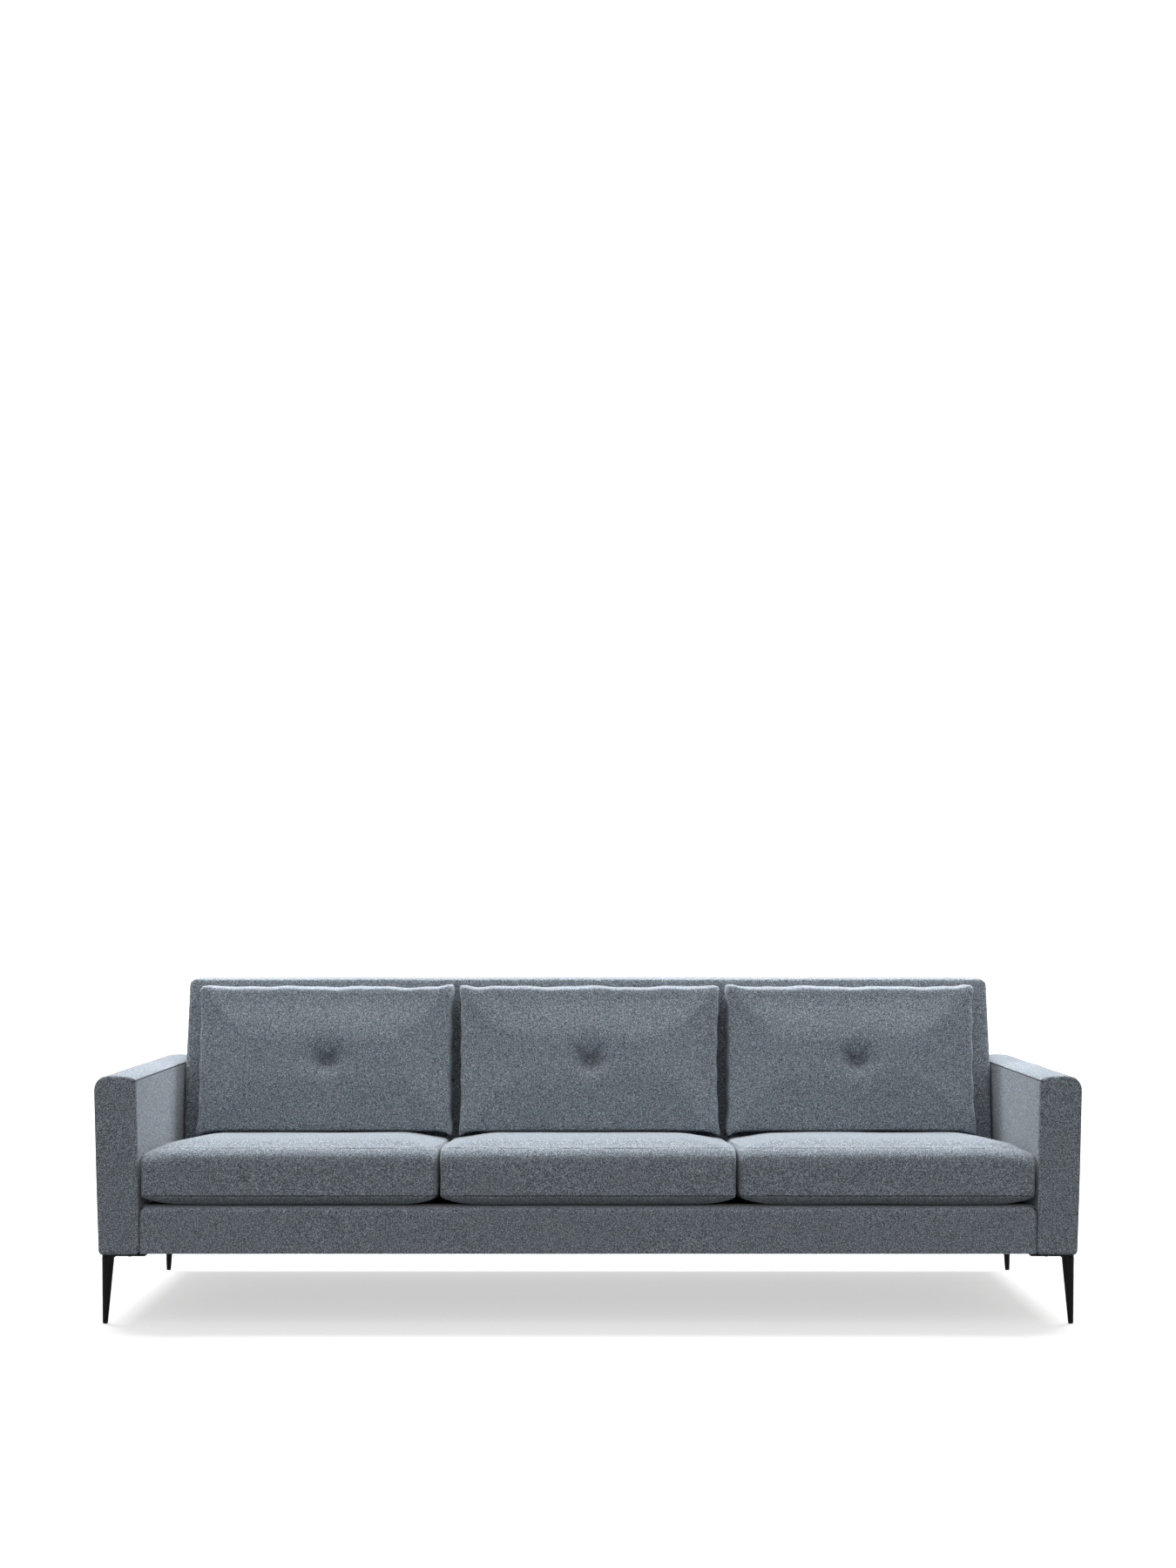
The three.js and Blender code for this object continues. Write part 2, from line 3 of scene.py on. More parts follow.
import bmesh
import bpy
import numpy as np
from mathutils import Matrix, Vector


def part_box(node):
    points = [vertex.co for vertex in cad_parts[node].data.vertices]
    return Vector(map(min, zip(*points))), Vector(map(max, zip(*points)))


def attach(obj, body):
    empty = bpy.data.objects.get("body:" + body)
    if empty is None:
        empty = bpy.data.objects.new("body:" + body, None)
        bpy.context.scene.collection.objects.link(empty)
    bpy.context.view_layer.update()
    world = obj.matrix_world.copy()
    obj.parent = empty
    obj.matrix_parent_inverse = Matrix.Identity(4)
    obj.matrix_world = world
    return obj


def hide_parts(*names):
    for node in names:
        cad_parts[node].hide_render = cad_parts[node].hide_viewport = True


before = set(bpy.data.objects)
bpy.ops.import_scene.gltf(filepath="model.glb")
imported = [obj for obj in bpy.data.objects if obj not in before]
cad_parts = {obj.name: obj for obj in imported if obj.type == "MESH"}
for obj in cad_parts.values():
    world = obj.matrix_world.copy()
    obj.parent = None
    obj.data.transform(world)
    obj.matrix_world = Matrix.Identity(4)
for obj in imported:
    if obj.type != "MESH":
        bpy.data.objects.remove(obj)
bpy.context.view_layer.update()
scene = bpy.context.scene

# ---- Camera
# A tripod 5.8 m in front of the sofa, with the lens 1 m up, tipped a little down and shifted up.
CAMERA_AWAY = 5.835
CAMERA_HEIGHT = 0.996
CAMERA_TIP = 5.64  # degrees below level

bpy.ops.object.camera_add(
    location=(0, -CAMERA_AWAY, CAMERA_HEIGHT), rotation=(math.radians(90 - CAMERA_TIP), 0, 0)
)
camera = bpy.context.object
camera.data.sensor_width = 36
camera.data.lens = 51.26
camera.data.shift_y = 0.225
scene.camera = camera
scene.view_settings.view_transform = "Standard"

# ---- Studio
# A pale floor with a painted glow that lights nothing on the sofa: painted light, dimmer near the sofa as a
# painted shadow round it, brighter further off. Two overhead softboxes, two high side strips, and a white
# room with darker side walls.
OVERHEAD_SIZE = (1.8, 0.9)
OVERHEAD_WATTS = 150
STRIP_SIZE = (0.8, 3.0)
BELOW_FLOOR_LEVEL = 0.16
SIDE_WALL_LEVEL = 0.1
FRONT_WALL_LEVEL = 1.2  # the wall behind the camera
REAR_WALL_LEVEL = 1.02
GLOW_NEAR, GLOW_FAR = 1.6, 4.0  # the floor's painted glow grows between these distances from the sofa
# painted glow levels: lower under and near the sofa, a painted shadow that still lifts the real one to pale
# grey, higher outside
PAINTED_GLOW_UNDER_SOFA, PAINTED_GLOW_OUTSIDE = 0.56, 1.15


def tone(hex_colour):
    """An sRGB hex colour as linear RGBA."""
    parts = [int(hex_colour[i : i + 2], 16) / 255 for i in (1, 3, 5)]
    return (*[c / 12.92 if c <= 0.04045 else ((c + 0.055) / 1.055) ** 2.4 for c in parts], 1)


def add_node(tree, kind, inputs, **settings):
    """Adds a shader node. An input is a value, or the socket that feeds it."""
    made = tree.nodes.new("ShaderNode" + kind)
    for name, value in settings.items():
        setattr(made, name, value)
    for key, value in inputs.items():
        if isinstance(value, bpy.types.NodeSocket):
            tree.links.new(value, made.inputs[key])
        else:
            made.inputs[key].default_value = value
    return made


def new_material(name):
    """A named material, its node tree and its Principled shader."""
    material = bpy.data.materials.new(name)
    material.use_nodes = True
    return material, material.node_tree, material.node_tree.nodes["Principled BSDF"]


def softbox(name, place, size, watts, look_at=(0, 0, 0.4)):
    bpy.ops.object.light_add(type="AREA", location=place)
    lamp = bpy.context.object
    lamp.name = name
    lamp.data.shape = "RECTANGLE"
    lamp.data.size, lamp.data.size_y = size
    lamp.data.energy = watts
    lamp.rotation_euler = (Vector(look_at) - Vector(place)).to_track_quat("-Z", "Y").to_euler()


for name, x in (("left_overhead_softbox", -1.5), ("right_overhead_softbox", 1.5)):
    softbox(name, (x, 0.75, 2.7), OVERHEAD_SIZE, OVERHEAD_WATTS, look_at=(x, 0.75, 0))
for name, x, watts in (("left_strip", -3.2, 2), ("right_strip", 3.2, 5)):
    softbox(name, (x, 0.1, 2.3), STRIP_SIZE, watts)

room = bpy.data.worlds.new("white_room")
room.use_nodes = True
tree = room.node_tree
direction = add_node(tree, "TexCoord", {})
bearing = add_node(tree, "SeparateXYZ", {"Vector": direction.outputs["Generated"]})
room_light = add_node(
    tree,
    "MapRange",
    {
        "Value": bearing.outputs["Z"],
        "From Min": -0.15,
        "From Max": -0.05,
        "To Min": BELOW_FLOOR_LEVEL,
        "To Max": 1.0,
    },
)
sideways = add_node(tree, "Math", {0: bearing.outputs["X"], 1: bearing.outputs["X"]}, operation="MULTIPLY")
side_walls = add_node(
    tree,
    "MapRange",
    {
        "Value": sideways.outputs["Value"],
        "From Min": 0.2,
        "From Max": 0.85,
        "To Min": 1.0,
        "To Max": SIDE_WALL_LEVEL,
    },
)
walls = add_node(
    tree,
    "Math",
    {0: room_light.outputs["Result"], 1: side_walls.outputs["Result"]},
    operation="MULTIPLY",
)
front_wall = add_node(
    tree,
    "MapRange",
    {
        "Value": bearing.outputs["Y"],
        "From Min": -0.9,
        "From Max": 0.0,
        "To Min": FRONT_WALL_LEVEL,
        "To Max": REAR_WALL_LEVEL,
    },
)
room_level = add_node(
    tree, "Math", {0: walls.outputs["Value"], 1: front_wall.outputs["Result"]}, operation="MULTIPLY"
)
tree.links.new(room_level.outputs["Value"], tree.nodes["Background"].inputs["Strength"])
tree.nodes["Background"].inputs["Color"].default_value = (1, 1, 1, 1)
scene.world = room

bpy.ops.mesh.primitive_plane_add(size=60, location=(0, 0, 0))
floor = bpy.context.object
floor.name = "studio_floor"
glowing_floor, tree, shader = new_material("floor_with_painted_glow")
cloudy = add_node(tree, "TexNoise", {"Scale": 0.8, "Detail": 2})
cloudy_ramp = add_node(tree, "ValToRGB", {"Fac": cloudy.outputs["Fac"]})
cloudy_ramp.color_ramp.elements[0].color = tone("#a2a2a2")
cloudy_ramp.color_ramp.elements[1].color = tone("#a6a6a6")
tree.links.new(cloudy_ramp.outputs["Color"], shader.inputs["Base Color"])
shader.inputs["Roughness"].default_value = 0.9
shader.inputs["Specular IOR Level"].default_value = 0.0
shader.inputs["Emission Color"].default_value = (1, 1, 1, 1)
spot = add_node(tree, "TexCoord", {})
away_from_sofa = add_node(tree, "VectorMath", {0: spot.outputs["Object"]}, operation="LENGTH")
painted_floor_glow = add_node(
    tree,
    "MapRange",
    {
        "Value": away_from_sofa.outputs["Value"],
        "From Min": GLOW_NEAR,
        "From Max": GLOW_FAR,
        "To Min": PAINTED_GLOW_UNDER_SOFA,
        "To Max": PAINTED_GLOW_OUTSIDE,
    },
)
# painted light: the floor's glow, lower near the sofa as a painted shadow
tree.links.new(painted_floor_glow.outputs["Result"], shader.inputs["Emission Strength"])
floor.data.materials.append(glowing_floor)
# the floor is kept out of diffuse bounces, so its painted glow does not light the sofa's cloth
floor.visible_diffuse = False

# ---- Leg castings
# Four tapered legs, each die-cast in one piece with a thin plate that screws up into the arm.
# Satin black powder coat: nearly black, a soft sheen down the side, a fine orange-peel skin.
MM = 0.001
SIDES = {"left": -1, "right": 1}
LEG_TOP_RADIUS = 15 * MM
LEG_FOOT_RADIUS = 6.5 * MM
LEG_FLARE = 6 * MM  # where the leg widens into the plate
FOOT_ROUND = 0.8 * MM
PLATE_THICKNESS = 4.5 * MM
PLATE_CUT = 77 * MM  # the inner corner, cut off at 45 degrees
PLATE_CORNER = 6 * MM
PLATE_RIM = 1 * MM
PEEL = MM / 0.9  # the coat's orange peel, 1.1 mm
CAST_LUMPS = MM / 0.06  # the casting's slow unevenness, 17 mm


def lone(piece=None):
    """Leaves only this piece selected, and active."""
    bpy.ops.object.select_all(action="DESELECT")
    if piece:
        piece.select_set(True)
        bpy.context.view_layer.objects.active = piece


def new_block(name, low, high):
    """A block between two corners, with its place in its mesh."""
    lone()
    low, high = Vector(low), Vector(high)
    bpy.ops.mesh.primitive_cube_add(size=1, location=(low + high) / 2, scale=high - low)
    piece = bpy.context.object
    piece.name = name
    bpy.ops.object.transform_apply(location=True, rotation=True, scale=True)
    return piece


def pick(piece, kind, test):
    """In edit mode, selects only the verts, edges or faces that pass the test."""
    bpy.ops.mesh.select_mode(type={"verts": "VERT", "edges": "EDGE", "faces": "FACE"}[kind])
    shape = bmesh.from_edit_mesh(piece.data)
    for parts in (shape.verts, shape.edges, shape.faces):
        for part in parts:
            part.select = False
    for part in getattr(shape, kind):
        if test(part):
            part.select_set(True)
    bmesh.update_edit_mesh(piece.data)


def ends(edge):
    return edge.verts[0].co, edge.verts[1].co


def along(axis, edge):
    """True if the edge runs along this axis: 0, 1 or 2."""
    run = ends(edge)[1] - ends(edge)[0]
    return abs(run[axis]) > 0.99 * run.length


def middle(edge):
    return (edge.verts[0].co + edge.verts[1].co) / 2


def near(a, b, reach=0.5 * MM):
    return abs(a - b) < reach


def runs(edge, axis, **place):
    """True if the edge runs along this axis through this place, such as x=0.2."""
    return along(axis, edge) and all(near(getattr(middle(edge), key), at) for key, at in place.items())


def lies_at(edge, axis, at, reach=0.5 * MM):
    """True if both ends of the edge are at this place along the axis."""
    return near(ends(edge)[0][axis], at, reach) and near(ends(edge)[1][axis], at, reach)


def round_edges(piece, test, radius, segments=4):
    """In edit mode, rounds the edges that pass the test."""
    pick(piece, "edges", test)
    bpy.ops.mesh.bevel(offset=radius, segments=segments, affect="EDGES", clamp_overlap=True)


def apply_all(piece):
    lone(piece)
    for modifier in list(piece.modifiers):
        bpy.ops.object.modifier_apply(modifier=modifier.name)


def combine(piece, tool, operation):
    """Joins a tool piece into the piece, or cuts it out, and takes the tool away."""
    modifier = piece.modifiers.new(operation.lower(), "BOOLEAN")
    modifier.operation = operation
    modifier.solver = "EXACT"
    modifier.object = tool
    apply_all(piece)
    bpy.data.objects.remove(tool)


def smooth(piece, degrees=40):
    lone(piece)
    bpy.ops.object.shade_smooth_by_angle(angle=math.radians(degrees))


def finish_piece(piece, body, slot, material, *nodes):
    """Gives a finished piece its material and its body, and hides the CAD nodes it replaces; the slot
    argument is not used.
    """
    piece.data.materials.clear()
    piece.data.materials.append(material)
    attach(piece, body)
    if nodes:
        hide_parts(*nodes)


powder_coat, tree, shader = new_material("satin_black_powder_coat")
place = add_node(tree, "TexCoord", {})
peel = add_node(tree, "TexNoise", {"Vector": place.outputs["Object"], "Scale": 1 / PEEL, "Detail": 2})
cast = add_node(
    tree, "TexNoise", {"Vector": place.outputs["Object"], "Scale": 1 / CAST_LUMPS, "Detail": 3}
)
coat_ramp = add_node(tree, "ValToRGB", {"Fac": cast.outputs["Fac"]})
coat_ramp.color_ramp.elements[0].color = tone("#050606")
coat_ramp.color_ramp.elements[1].color = tone("#0a0b0b")
gloss_range = add_node(
    tree, "MapRange", {"Value": cast.outputs["Fac"], "To Min": 0.42, "To Max": 0.56}
)
peel_bump = add_node(
    tree, "Bump", {"Height": peel.outputs["Fac"], "Strength": 0.25, "Distance": 0.05 * MM}
)
tree.links.new(coat_ramp.outputs["Color"], shader.inputs["Base Color"])
tree.links.new(gloss_range.outputs["Result"], shader.inputs["Roughness"])
tree.links.new(peel_bump.outputs["Normal"], shader.inputs["Normal"])
shader.inputs["Specular IOR Level"].default_value = 0.1

for end, toward in (("front", 1), ("rear", -1)):
    for side, sign in SIDES.items():
        low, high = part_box(f"leg_{end}_{side}")
        # the casting's outer corner: its two outer sides stand upright above it
        corner = Vector((low.x if sign < 0 else high.x, low.y if toward > 0 else high.y, 0))
        inward = Vector((-sign, toward, 0))
        reach = high.x - low.x
        plate_bottom = high.z - PLATE_THICKNESS
        far = corner + inward * reach
        plate = new_block(
            f"leg_plate_{end}_{side}",
            (min(corner.x, far.x), min(corner.y, far.y), plate_bottom),
            (max(corner.x, far.x), max(corner.y, far.y), high.z),
        )
        bpy.ops.object.mode_set(mode="EDIT")
        round_edges(plate, lambda e: runs(e, 2, x=far.x, y=far.y), PLATE_CUT, 1)
        round_edges(plate, lambda e: runs(e, 2, x=corner.x, y=corner.y), LEG_TOP_RADIUS, 8)
        off_corner = lambda e: not near(middle(e).x, corner.x, LEG_TOP_RADIUS)
        round_edges(plate, lambda e: along(2, e) and off_corner(e), PLATE_CORNER)
        under_rim = lambda e: near(middle(e).z, plate_bottom, 0.1 * MM) and not along(2, e)
        round_edges(plate, under_rim, PLATE_RIM, 2)
        bpy.ops.object.mode_set(mode="OBJECT")

        # the leg: a ring at the foot, pulled up and widened step by step towards the middle
        flare_bottom = plate_bottom - LEG_FLARE
        rings = [(low.z, LEG_FOOT_RADIUS)]
        for step in (0.03, 0.35, 0.7, 1):
            radius = LEG_FOOT_RADIUS + (LEG_TOP_RADIUS - LEG_FOOT_RADIUS) * step
            rings.append((low.z + (flare_bottom - low.z) * step, radius))
        for step in (0.25, 0.5, 0.75, 1):
            rings.append((flare_bottom + LEG_FLARE * step, LEG_TOP_RADIUS + LEG_FLARE * step**2))
        rings.append((plate_bottom + PLATE_THICKNESS / 2, LEG_TOP_RADIUS + LEG_FLARE))
        at = corner + inward * LEG_FOOT_RADIUS
        lone()
        bpy.ops.mesh.primitive_circle_add(
            vertices=48, radius=LEG_FOOT_RADIUS, fill_type="NGON", location=(at.x, at.y, low.z)
        )
        leg = bpy.context.object
        leg.name = f"leg_casting_{end}_{side}"
        bpy.ops.object.transform_apply(location=True, rotation=True, scale=True)
        bpy.ops.object.mode_set(mode="EDIT")
        bpy.ops.mesh.select_all(action="SELECT")
        for (z0, r0), (z1, r1) in zip(rings, rings[1:]):
            move = inward * (r1 - r0) + Vector((0, 0, z1 - z0))
            bpy.ops.mesh.extrude_region_move(TRANSFORM_OT_translate={"value": move})
            centre = corner + inward * r1
            bpy.ops.transform.resize(
                value=(r1 / r0, r1 / r0, 1), center_override=(centre.x, centre.y, z1)
            )
        bpy.ops.mesh.select_all(action="SELECT")
        bpy.ops.mesh.normals_make_consistent(inside=False)
        round_edges(leg, lambda e: lies_at(e, 2, low.z, 0.01 * MM), FOOT_ROUND, 2)
        bpy.ops.object.mode_set(mode="OBJECT")
        combine(leg, plate, "UNION")
        smooth(leg, 35)
        finish_piece(leg, "frame", "black_leg_coat", powder_coat, f"leg_{end}_{side}")

# ---- Foot glides and steel fixings
# A black polyamide plug, moulded with a fine matt grit and pinned into each foot, and steel
# screws and bolts whose bright zinc plating has a faint spangle.
GLIDE_GRIT = MM / 1.5  # 0.7 mm
ZINC_SPANGLE = MM / 0.7  # 1.4 mm


def dress(material, *names):
    """Gives CAD nodes their material."""
    for name in names:
        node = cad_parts[name]
        for slot in node.material_slots:
            slot.material = material
        if not node.material_slots:
            node.data.materials.append(material)


def named(start):
    return sorted(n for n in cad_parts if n.startswith(start))


glide_plastic, tree, shader = new_material("moulded_polyamide")
place = add_node(tree, "TexCoord", {})
grit = add_node(tree, "TexNoise", {"Vector": place.outputs["Object"], "Scale": 1 / GLIDE_GRIT, "Detail": 1})
grit_ramp = add_node(tree, "ValToRGB", {"Fac": grit.outputs["Fac"]})
grit_ramp.color_ramp.elements[0].color = tone("#161616")
grit_ramp.color_ramp.elements[1].color = tone("#1f1f1f")
grit_bump = add_node(
    tree, "Bump", {"Height": grit.outputs["Fac"], "Strength": 0.3, "Distance": 0.03 * MM}
)
tree.links.new(grit_ramp.outputs["Color"], shader.inputs["Base Color"])
tree.links.new(grit_bump.outputs["Normal"], shader.inputs["Normal"])
shader.inputs["Roughness"].default_value = 0.6
dress(glide_plastic, *named("foot_glide"))

zinc, tree, shader = new_material("zinc_plated_steel")
place = add_node(tree, "TexCoord", {})
spangle = add_node(tree, "TexVoronoi", {"Vector": place.outputs["Object"], "Scale": 1 / ZINC_SPANGLE})
spangle_ramp = add_node(tree, "ValToRGB", {"Fac": spangle.outputs["Distance"]})
spangle_ramp.color_ramp.elements[0].color = tone("#aeb2b6")
spangle_ramp.color_ramp.elements[1].color = tone("#c4c6c4")
plate_range = add_node(
    tree, "MapRange", {"Value": spangle.outputs["Distance"], "To Min": 0.28, "To Max": 0.42}
)
tree.links.new(spangle_ramp.outputs["Color"], shader.inputs["Base Color"])
tree.links.new(plate_range.outputs["Result"], shader.inputs["Roughness"])
shader.inputs["Metallic"].default_value = 1.0
dress(zinc, *named("leg_screw"), *named("arm_bolt"))

# ---- Timber frame
# Planed softwood rails and posts, glued and stapled: straw-coloured, with darker late-wood
# lines about 5 mm apart that run along each piece. The backrest has birch ply ribs and a
# pressed hardboard panel.
WOOD_FIBRE = MM / 0.9  # 1.1 mm
PINE = {"light": "#d8b98a", "dark": "#b78b55", "ring": 5 * MM, "roughness": 0.65}


def planed_wood(name, axis, light, dark, ring, roughness):
    """Wood whose lines run along this axis, about `ring` metres apart."""
    material, tree, shader = new_material(name)
    place = add_node(tree, "TexCoord", {})
    stretch = [1.0, 1.0, 1.0]
    stretch[axis] = 0.06
    run = add_node(tree, "Mapping", {"Vector": place.outputs["Object"], "Scale": stretch})
    sway = add_node(tree, "TexNoise", {"Vector": run.outputs["Vector"], "Scale": 0.25 / ring, "Detail": 3})
    lines = add_node(
        tree,
        "TexWave",
        {"Vector": run.outputs["Vector"], "Scale": 0.16 / ring, "Distortion": 5, "Detail": 2},
        bands_direction="DIAGONAL",
    )
    fibre = add_node(
        tree, "TexNoise", {"Vector": run.outputs["Vector"], "Scale": 1 / WOOD_FIBRE, "Detail": 2}
    )
    both = add_node(
        tree, "Math", {0: lines.outputs["Fac"], 1: sway.outputs["Fac"]}, operation="MULTIPLY"
    )
    ramp = add_node(tree, "ValToRGB", {"Fac": both.outputs["Value"]})
    ramp.color_ramp.elements[0].color = tone(light)
    ramp.color_ramp.elements[1].color = tone(dark)
    ramp.color_ramp.elements[1].position = 0.6
    bump = add_node(
        tree, "Bump", {"Height": fibre.outputs["Fac"], "Strength": 0.35, "Distance": 0.15 * MM}
    )
    tree.links.new(ramp.outputs["Color"], shader.inputs["Base Color"])
    tree.links.new(bump.outputs["Normal"], shader.inputs["Normal"])
    shader.inputs["Roughness"].default_value = roughness
    return material


pine_across = planed_wood("planed_pine_across", 0, **PINE)
pine_deep = planed_wood("planed_pine_deep", 1, **PINE)
pine_upright = planed_wood("planed_pine_upright", 2, **PINE)
dress(pine_across, "seat_front_rail", "seat_rear_rail", "back_top_rail")
dress(pine_deep, *named("seat_end_rail"), *named("seat_cross_rail"))
dress(pine_deep, *named("arm_bottom_rail"), *named("arm_top_rail"))
dress(pine_upright, *[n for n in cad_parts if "_post_" in n])
birch_ply = planed_wood("birch_plywood", 2, "#dcc397", "#c3a06c", 3 * MM, 0.6)
dress(birch_ply, *named("back_rib"))
hardboard = planed_wood("pressed_hardboard", 0, "#8a6440", "#6f4d2e", 1.2 * MM, 0.7)
dress(hardboard, "back_panel")

# ---- Elastic webbing
# Black woven rubber-core webbing, 60 mm wide, stretched front to back and side to side. Its
# rubber cords stand up as fine ribs, with the picks of the weave across them.
WAVE = math.pi / 10  # a wave pattern at scale 1 has its bands this far apart
WEB_RIBS = WAVE / 85  # 3.7 mm
WEB_PICKS = WAVE / 120  # 2.6 mm
webbing, tree, shader = new_material("elastic_webbing")
place = add_node(tree, "TexCoord", {})
ribs = add_node(
    tree, "TexWave", {"Vector": place.outputs["Object"], "Scale": WAVE / WEB_RIBS}, bands_direction="X"
)
picks = add_node(
    tree, "TexWave", {"Vector": place.outputs["Object"], "Scale": WAVE / WEB_PICKS}, bands_direction="Y"
)
woven = add_node(tree, "Math", {0: ribs.outputs["Fac"], 1: picks.outputs["Fac"]}, operation="MULTIPLY")
web_ramp = add_node(tree, "ValToRGB", {"Fac": woven.outputs["Value"]})
web_ramp.color_ramp.elements[0].color = tone("#151516")
web_ramp.color_ramp.elements[1].color = tone("#34343a")
web_bump = add_node(
    tree, "Bump", {"Height": woven.outputs["Value"], "Strength": 0.6, "Distance": 0.4 * MM}
)
tree.links.new(web_ramp.outputs["Color"], shader.inputs["Base Color"])
tree.links.new(web_bump.outputs["Normal"], shader.inputs["Normal"])
shader.inputs["Roughness"].default_value = 0.8
dress(webbing, *named("seat_webbing"))

# ---- Cover cloth
# A felted melange weave of grey-blue wool blend: dark, mid and pale fibres mixed in the yarn,
# so the eye sees a fine salt-and-pepper grain, and a pale bloom where light grazes the nap.
YARN = 1.7 * MM  # thread spacing, drawn nearly twice as coarse as real so that it shows
CLUMP = 3.3 * MM  # pale and dark fibres gather in clumps this wide
CLOTH_DARK = "#2c3136"
CLOTH_MID = "#626970"
CLOTH_PALE = "#adb5bd"
# painted shade: the colour that seam lines and tuft folds are darkened towards
PAINTED_SEAM_SHADE = "#0c0d0f"

cover_cloth, tree, shader = new_material("melange_wool_blend")
place = add_node(tree, "TexCoord", {})
clumps = add_node(
    tree,
    "TexNoise",
    {"Vector": place.outputs["Object"], "Scale": 1 / CLUMP, "Detail": 3, "Roughness": 0.75},
)
yarns = add_node(
    tree,
    "TexNoise",
    {"Vector": place.outputs["Object"], "Scale": 1 / YARN, "Detail": 2, "Roughness": 0.7},
)
mixed = add_node(
    tree,
    "Mix",
    {0: 0.5, 2: clumps.outputs["Fac"], 3: yarns.outputs["Fac"]},
    data_type="FLOAT",
)
grain = add_node(tree, "ValToRGB", {"Fac": mixed.outputs[0]})
grain.color_ramp.elements[0].position = 0.38
grain.color_ramp.elements[0].color = tone(CLOTH_DARK)
grain.color_ramp.elements[1].position = 0.62
grain.color_ramp.elements[1].color = tone(CLOTH_PALE)
grain.color_ramp.elements.new(0.5).color = tone(CLOTH_MID)
nap_bump = add_node(
    tree, "Bump", {"Height": mixed.outputs[0], "Strength": 0.55, "Distance": 0.9 * MM}
)
# painted shade: seam lines and tuft folds, marked in the seam attribute, darken towards near-black to stand
# in for the shade in those grooves
painted_shade_marks = add_node(tree, "Attribute", {}, attribute_name="seam")
painted_shade_amount = add_node(tree, "MapRange", {"Value": painted_shade_marks.outputs["Fac"], "To Max": 0.85})
shaded = add_node(
    tree,
    "Mix",
    {0: painted_shade_amount.outputs["Result"], 6: grain.outputs["Color"], 7: tone(PAINTED_SEAM_SHADE)},
    data_type="RGBA",
)
tree.links.new(shaded.outputs[2], shader.inputs["Base Color"])
tree.links.new(nap_bump.outputs["Normal"], shader.inputs["Normal"])
shader.inputs["Roughness"].default_value = 0.95
shader.inputs["Specular IOR Level"].default_value = 0.1
shader.inputs["Sheen Weight"].default_value = 0.24
shader.inputs["Sheen Roughness"].default_value = 0.4
shader.inputs["Sheen Tint"].default_value = tone("#e6edf2")

# ---- Upholstered arms
# Slab arms: wadding and cloth drawn over the arm frame. The top and outer side are one panel
# that rolls over the outer edge, and the inner side panel is sewn to it along the top.
ARM_SKIN = 6 * MM
ARM_CROWN = 8 * MM
ARM_ROLL = 26 * MM  # the outer top edge
ARM_INNER_ROUND = 3 * MM  # the inner top edge, above the seam
ARM_HEM_ROUND = 8 * MM
ARM_END_ROUND = 6 * MM
ARM_FULLNESS = 2.5 * MM
ARM_SEAM_DROP = 5 * MM
ARM_FRONT_SEAM = 8 * MM  # behind the arm's front
ARM_WALL = 12 * MM
ARM_TOP_WALL = 15 * MM


def points(piece):
    co = np.empty(len(piece.data.vertices) * 3)
    piece.data.vertices.foreach_get("co", co)
    return co.reshape(-1, 3)


def set_points(piece, co):
    piece.data.vertices.foreach_set("co", co.ravel())
    piece.data.update()


def ease(value, start, stop):
    """0 before start, 1 after stop, and a smooth step between them."""
    t = np.clip((value - start) / (stop - start), 0, 1)
    return t * t * (3 - 2 * t)


def uneven(co, amount, wave, turn):
    """A slow unevenness of hand-drawn cloth: a few crossing waves of about this length."""
    total = np.zeros(len(co))
    for k, (a, b, c) in enumerate(((1, 0.3, 0.5), (-0.4, 1, 0.7), (0.6, -0.7, 1), (0.9, 0.8, -0.6))):
        phase = turn * (k + 1) * 1.7 + k
        total += np.sin((co[:, 0] * a + co[:, 1] * b + co[:, 2] * c) * 2 * math.pi / wave + phase)
    return total * amount / 2.5


def normals(piece):
    no = np.empty(len(piece.data.vertices) * 3)
    piece.data.vertices.foreach_get("normal", no)
    return no.reshape(-1, 3)


def remesh(piece, size):
    """An even skin of small squares over the whole piece."""
    modifier = piece.modifiers.new("even_skin", "REMESH")
    modifier.mode = "VOXEL"
    modifier.voxel_size = size
    apply_all(piece)


def sew(piece, point, normal, where=None, half=1.8 * MM, depth=3 * MM, dark=1.0):
    """Draws a seam in: cuts three lines along a plane, sinks the middle one and paints shade along it, as
    dark as `dark`, in the seam attribute.
    """
    point, normal = Vector(point), Vector(normal).normalized()
    lone(piece)
    bpy.ops.object.mode_set(mode="EDIT")
    bpy.ops.mesh.select_mode(type="VERT")
    for offset in (-half, half, 0):
        bpy.ops.mesh.select_all(action="SELECT")
        bpy.ops.mesh.bisect(plane_co=point + normal * offset, plane_no=normal, threshold=0.02 * MM)
    shape = bmesh.from_edit_mesh(piece.data)
    # painted seam shade, kept in the seam attribute
    painted_shade_layer = shape.verts.layers.float.get("seam") or shape.verts.layers.float.new("seam")
    line = [v for v in shape.verts if v.select and (where is None or where(v.co))]
    sunk = [v.co - v.normal * depth for v in line]
    for vert, place_now in zip(line, sunk):
        vert.co = place_now
        vert[painted_shade_layer] = dark
    bmesh.update_edit_mesh(piece.data)
    bpy.ops.object.mode_set(mode="OBJECT")


